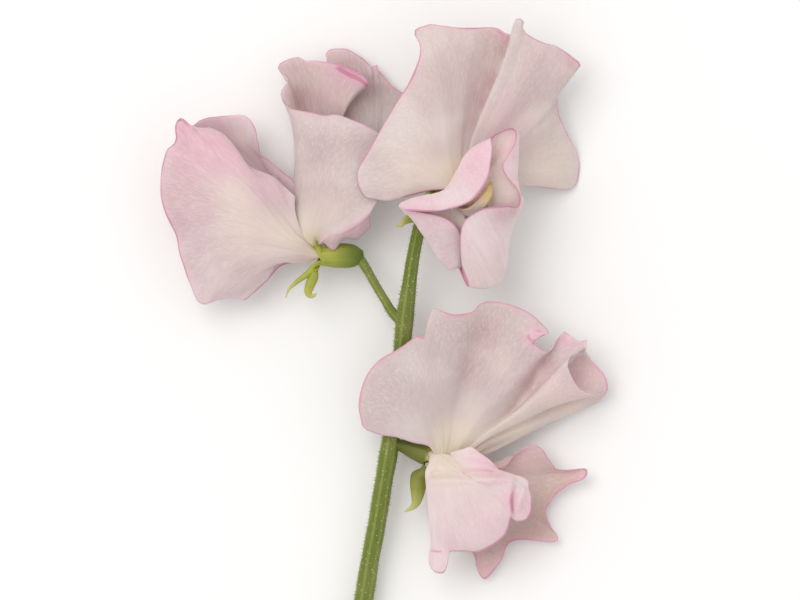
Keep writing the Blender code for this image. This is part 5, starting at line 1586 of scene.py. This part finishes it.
# ----------------------------------------------------------------------------------------
# Lower blossom, wings and keel. The near wing hangs like a bag with a crease across its
# shoulder and a rim that curls under; the far wing spreads behind it in three points.
LOWER_NEAR_WING = [
    [(5.8, -32.4, 10.3), (5.0, -34.6, 11.2), (5.3, -39.0, 11.8), (5.8, -44.0, 11.8),
     (6.3, -48.0, 11.2), (5.7, -51.4, 10.4)],
    [(6.1, -32.3, 10.4), (6.7, -36.3, 12.8), (6.8, -41.0, 13.2), (7.2, -46.0, 12.9),
     (7.4, -50.2, 12.2), (7.6, -54.8, 10.6)],
    [(6.5, -32.1, 10.6), (8.0, -36.4, 13.7), (8.6, -41.6, 14.2), (9.0, -46.4, 13.8),
     (9.4, -49.4, 12.9), (9.8, -51.4, 12.0)],
    [(6.8, -32.0, 10.7), (9.6, -36.4, 14.4), (11.0, -41.6, 15.0), (11.9, -46.6, 14.6),
     (12.4, -49.0, 13.7), (12.8, -50.4, 12.6)],
    [(7.1, -31.9, 10.8), (11.4, -36.4, 14.9), (13.4, -41.6, 15.6), (14.9, -46.2, 15.2),
     (16.0, -48.6, 14.4), (17.0, -50.0, 13.4)],
    [(7.4, -31.8, 10.8), (13.0, -36.4, 15.2), (15.8, -41.0, 16.0), (17.9, -44.8, 15.7),
     (19.3, -46.6, 15.0), (20.6, -47.5, 14.2)],
    [(7.8, -31.6, 10.8), (14.4, -36.3, 15.4), (17.6, -39.2, 16.1), (20.0, -41.4, 16.0),
     (21.2, -42.8, 15.5), (22.2, -43.4, 14.9)],
    [(8.1, -31.5, 10.8), (15.2, -36.2, 15.5), (18.6, -37.6, 16.1), (21.0, -39.0, 16.2),
     (22.6, -40.8, 15.4), (23.8, -44.4, 13.4)],
    [(8.4, -31.4, 10.7), (15.4, -35.8, 15.5), (19.2, -36.2, 16.0), (22.0, -36.4, 16.0),
     (24.0, -37.6, 15.4), (26.3, -41.4, 13.6)],
    [(8.7, -31.3, 10.6), (13.4, -33.6, 13.8), (17.4, -34.2, 14.6), (20.6, -35.0, 15.2),
     (23.0, -35.4, 15.3), (25.8, -36.4, 14.8)],
    [(9.1, -31.1, 10.5), (11.6, -31.8, 12.8), (14.6, -31.8, 13.6), (17.2, -32.6, 14.0),
     (19.2, -33.8, 14.2), (21.0, -34.9, 14.2)],
    [(9.4, -31.0, 10.3), (10.4, -30.5, 11.8), (12.4, -29.9, 12.5), (14.2, -29.4, 12.9),
     (16.4, -30.8, 13.3), (18.0, -32.0, 13.6)],
]
LOWER_NEAR_WING_MARGIN = {
    0: [(5.8, -52.8, 10.2), (6.6, -54.3, 10.3)],
    1: [(8.8, -54.7, 10.8), (9.4, -53.4, 11.4)],
    2: [(10.2, -50.4, 12.1)],
    3: [(15.0, -50.5, 12.6)],
    5: [(21.7, -45.7, 14.4)],
    6: [(22.6, -44.0, 14.0)],
    7: [(25.2, -44.0, 13.2), (26.1, -42.8, 13.4)],
    8: [(26.4, -39.6, 14.0), (25.9, -37.6, 14.5)],
    9: [(24.6, -35.6, 14.8)],
}
LOWER_FAR_WING = [
    [(7.0, -33.3, 7.3), (9.0, -38.6, 5.6), (11.0, -44.0, 4.4), (13.2, -48.6, 3.6),
     (14.8, -51.0, 3.2), (15.3, -53.6, 3.0)],
    [(7.1, -33.2, 7.3), (10.0, -38.8, 5.2), (12.8, -44.4, 3.8), (15.0, -49.6, 3.0),
     (16.0, -53.0, 2.8), (17.0, -56.2, 2.6)],
    [(7.2, -33.2, 7.2), (11.0, -38.8, 5.0), (14.6, -43.8, 3.2), (17.4, -48.0, 2.6),
     (18.8, -50.4, 2.8), (20.4, -52.4, 3.0)],
    [(7.3, -33.1, 7.2), (12.0, -38.4, 4.8), (16.6, -42.8, 2.8), (20.0, -46.0, 2.0),
     (21.6, -47.6, 2.4), (22.4, -48.7, 3.0)],
    [(7.4, -33.1, 7.2), (12.8, -38.0, 4.6), (18.4, -41.8, 2.2), (23.0, -44.6, 1.2),
     (26.0, -46.8, 1.6), (28.0, -48.5, 2.6)],
    [(7.5, -33.0, 7.1), (13.4, -37.4, 4.4), (19.6, -40.6, 1.8), (25.0, -43.2, 0.8),
     (28.8, -45.6, 1.2), (31.8, -48.4, 2.6)],
    [(7.6, -33.0, 7.1), (13.8, -36.8, 4.4), (20.2, -39.2, 1.8), (25.0, -41.0, 0.8),
     (27.8, -42.4, 1.4), (29.4, -43.4, 2.8)],
    [(7.7, -32.9, 7.1), (14.2, -36.2, 4.4), (20.8, -38.0, 2.0), (25.8, -38.8, 1.2),
     (28.8, -39.8, 1.8), (31.0, -39.6, 3.2)],
    [(7.8, -32.8, 7.1), (14.6, -35.6, 4.6), (21.6, -36.4, 2.4), (28.0, -36.0, 1.8),
     (33.0, -35.4, 2.6), (37.7, -34.9, 4.0)],
    [(7.9, -32.7, 7.1), (14.6, -35.0, 4.8), (21.4, -35.0, 3.0), (26.6, -34.2, 2.8),
     (30.0, -33.8, 3.6), (32.0, -34.1, 4.6)],
    [(8.0, -32.6, 7.1), (14.2, -34.2, 5.2), (20.0, -33.8, 4.0), (24.6, -32.6, 4.0),
     (27.2, -31.6, 4.8), (29.6, -31.6, 5.6)],
    [(8.0, -32.5, 7.2), (13.6, -33.6, 5.6), (18.8, -32.8, 4.8), (22.8, -31.2, 5.0),
     (24.8, -30.2, 5.6), (26.4, -29.1, 6.2)],
    [(8.1, -32.4, 7.2), (12.8, -33.4, 6.0), (16.8, -33.8, 5.6), (19.6, -34.0, 5.6),
     (21.2, -33.6, 6.0), (22.4, -32.2, 6.4)],
]
LOWER_FAR_WING_MARGIN = {
    0: [(16.0, -55.3, 2.8)],
    1: [(18.2, -55.3, 2.7)],
    2: [(21.3, -50.0, 3.0)],
    3: [(25.0, -48.2, 2.8)],
    4: [(30.2, -48.8, 2.6)],
    5: [(31.6, -47.3, 2.6), (30.5, -45.8, 2.6)],
    6: [(29.6, -41.6, 3.0)],
    7: [(32.6, -38.2, 3.4), (34.4, -36.9, 3.7), (36.9, -36.0, 3.9)],
    8: [(37.3, -33.9, 4.2), (35.0, -34.2, 4.4)],
    9: [(30.8, -33.4, 5.0)],
    10: [(28.8, -30.2, 5.9), (27.7, -29.3, 6.1)],
    11: [(24.8, -29.5, 6.3), (23.4, -30.6, 6.4)],
}
LOWER_KEEL = [
    [(7.0, -31.8, 9.1), (11.0, -33.4, 10.4), (15.6, -35.4, 10.8), (19.6, -37.8, 9.6)],
    [(6.8, -32.3, 9.2), (10.4, -34.8, 10.6), (14.8, -37.2, 10.8), (18.8, -39.0, 9.4)],
    [(6.7, -32.7, 8.8), (9.8, -35.6, 8.8), (14.2, -38.4, 8.6), (18.4, -39.6, 8.8)],
    [(6.8, -32.3, 8.4), (10.4, -34.8, 7.4), (14.8, -37.2, 6.8), (18.8, -39.0, 8.2)],
    [(7.0, -31.8, 8.2), (11.0, -33.4, 7.4), (15.6, -35.4, 6.8), (19.6, -37.8, 8.0)],
]

grow_petal(
    "lower_near_wing_petal", "lower_near_wing", CUPS["lower"], LOWER_NEAR_WING,
    LOWER_NEAR_WING_MARGIN,
    petal_tissue("lower near wing tissue", body="#DBC6C7", veil="#E3D1D1", throat="#E2D4BE",
                 throat_end=0.5, vein_count=34.0),
    seed=32, frill=0.08,
    crests=[[(6.4, -50.2, 11.0), (7.2, -50.3, 12.0), (8.2, -50.4, 12.6)],
            [(22.4, -37.6, 15.8), (22.2, -40.2, 15.7), (22.6, -42.8, 15.0)]],
    creases=[([(6.2, -36.2, 13.0), (11.0, -36.1, 14.8), (16.0, -35.9, 15.6),
               (22.4, -35.6, 15.6)], 0.7, 0.6),
             ([(6.6, -34.9, 12.4), (11.0, -34.8, 13.9), (16.0, -34.6, 14.8),
               (21.4, -34.4, 14.8)], 0.8, -0.9),
             ([(22.2, -36.6, 15.8), (22.0, -40.0, 15.8), (22.0, -43.0, 15.0)], 0.6, 0.4),
             ([(23.0, -37.6, 15.4), (22.8, -40.4, 15.4), (22.6, -43.4, 14.6)], 0.5, -0.5),
             ([(25.0, -38.0, 15.0), (24.2, -40.0, 15.0), (23.4, -42.0, 14.8)], 0.5, 0.45)],
    bare=[(20.4, -34.6, 14.4, 2.6, 0.8), (16.0, -31.0, 13.3, 3.4, 0.9),
          (12.0, -30.2, 12.4, 3.0, 0.9), (6.0, -37.0, 11.6, 3.0, 0.8),
          (6.0, -43.0, 11.8, 3.4, 0.6)],
    pink=[(16.4, -31.8, 13.6, 3.4, 0.55), (20.0, -34.0, 14.4, 2.8, 0.5),
          (21.8, -40.0, 15.8, 1.6, 0.5), (25.4, -41.4, 14.0, 2.2, 0.6),
          (18.0, -45.0, 15.0, 4.0, 0.25), (10.0, -49.4, 13.0, 2.4, 0.2)],
    cream_and_light=[(8.4, -34.2, 12.0, 3.0, 0.5)],
)
# The far wing's body is darker and browner than the near wing's: painted shade where it lies under
# the near wing.
grow_petal(
    "lower_far_wing_petal", "lower_far_wing", CUPS["lower"], LOWER_FAR_WING,
    LOWER_FAR_WING_MARGIN,
    petal_tissue("lower far wing tissue", body="#C8AFA9", veil="#D0B9B3", vein_count=34.0),
    seed=33, frill=0.08,
    pink=[(24.0, -31.4, 6.0, 3.4, 0.45), (35.6, -35.0, 3.8, 3.0, 0.35),
          (16.0, -53.6, 3.0, 2.6, 0.5)],
    shade=[(16.4, -50.4, 3.0, 2.6, 0.3), (25.0, -44.0, 1.5, 4.4, 0.1)],
)
grow_petal(
    "lower_keel_boat", "lower_keel", CUPS["lower"], LOWER_KEEL, {},
    petal_tissue("lower keel tissue", **PALE_KEEL), seed=34, frill=0.0,
)
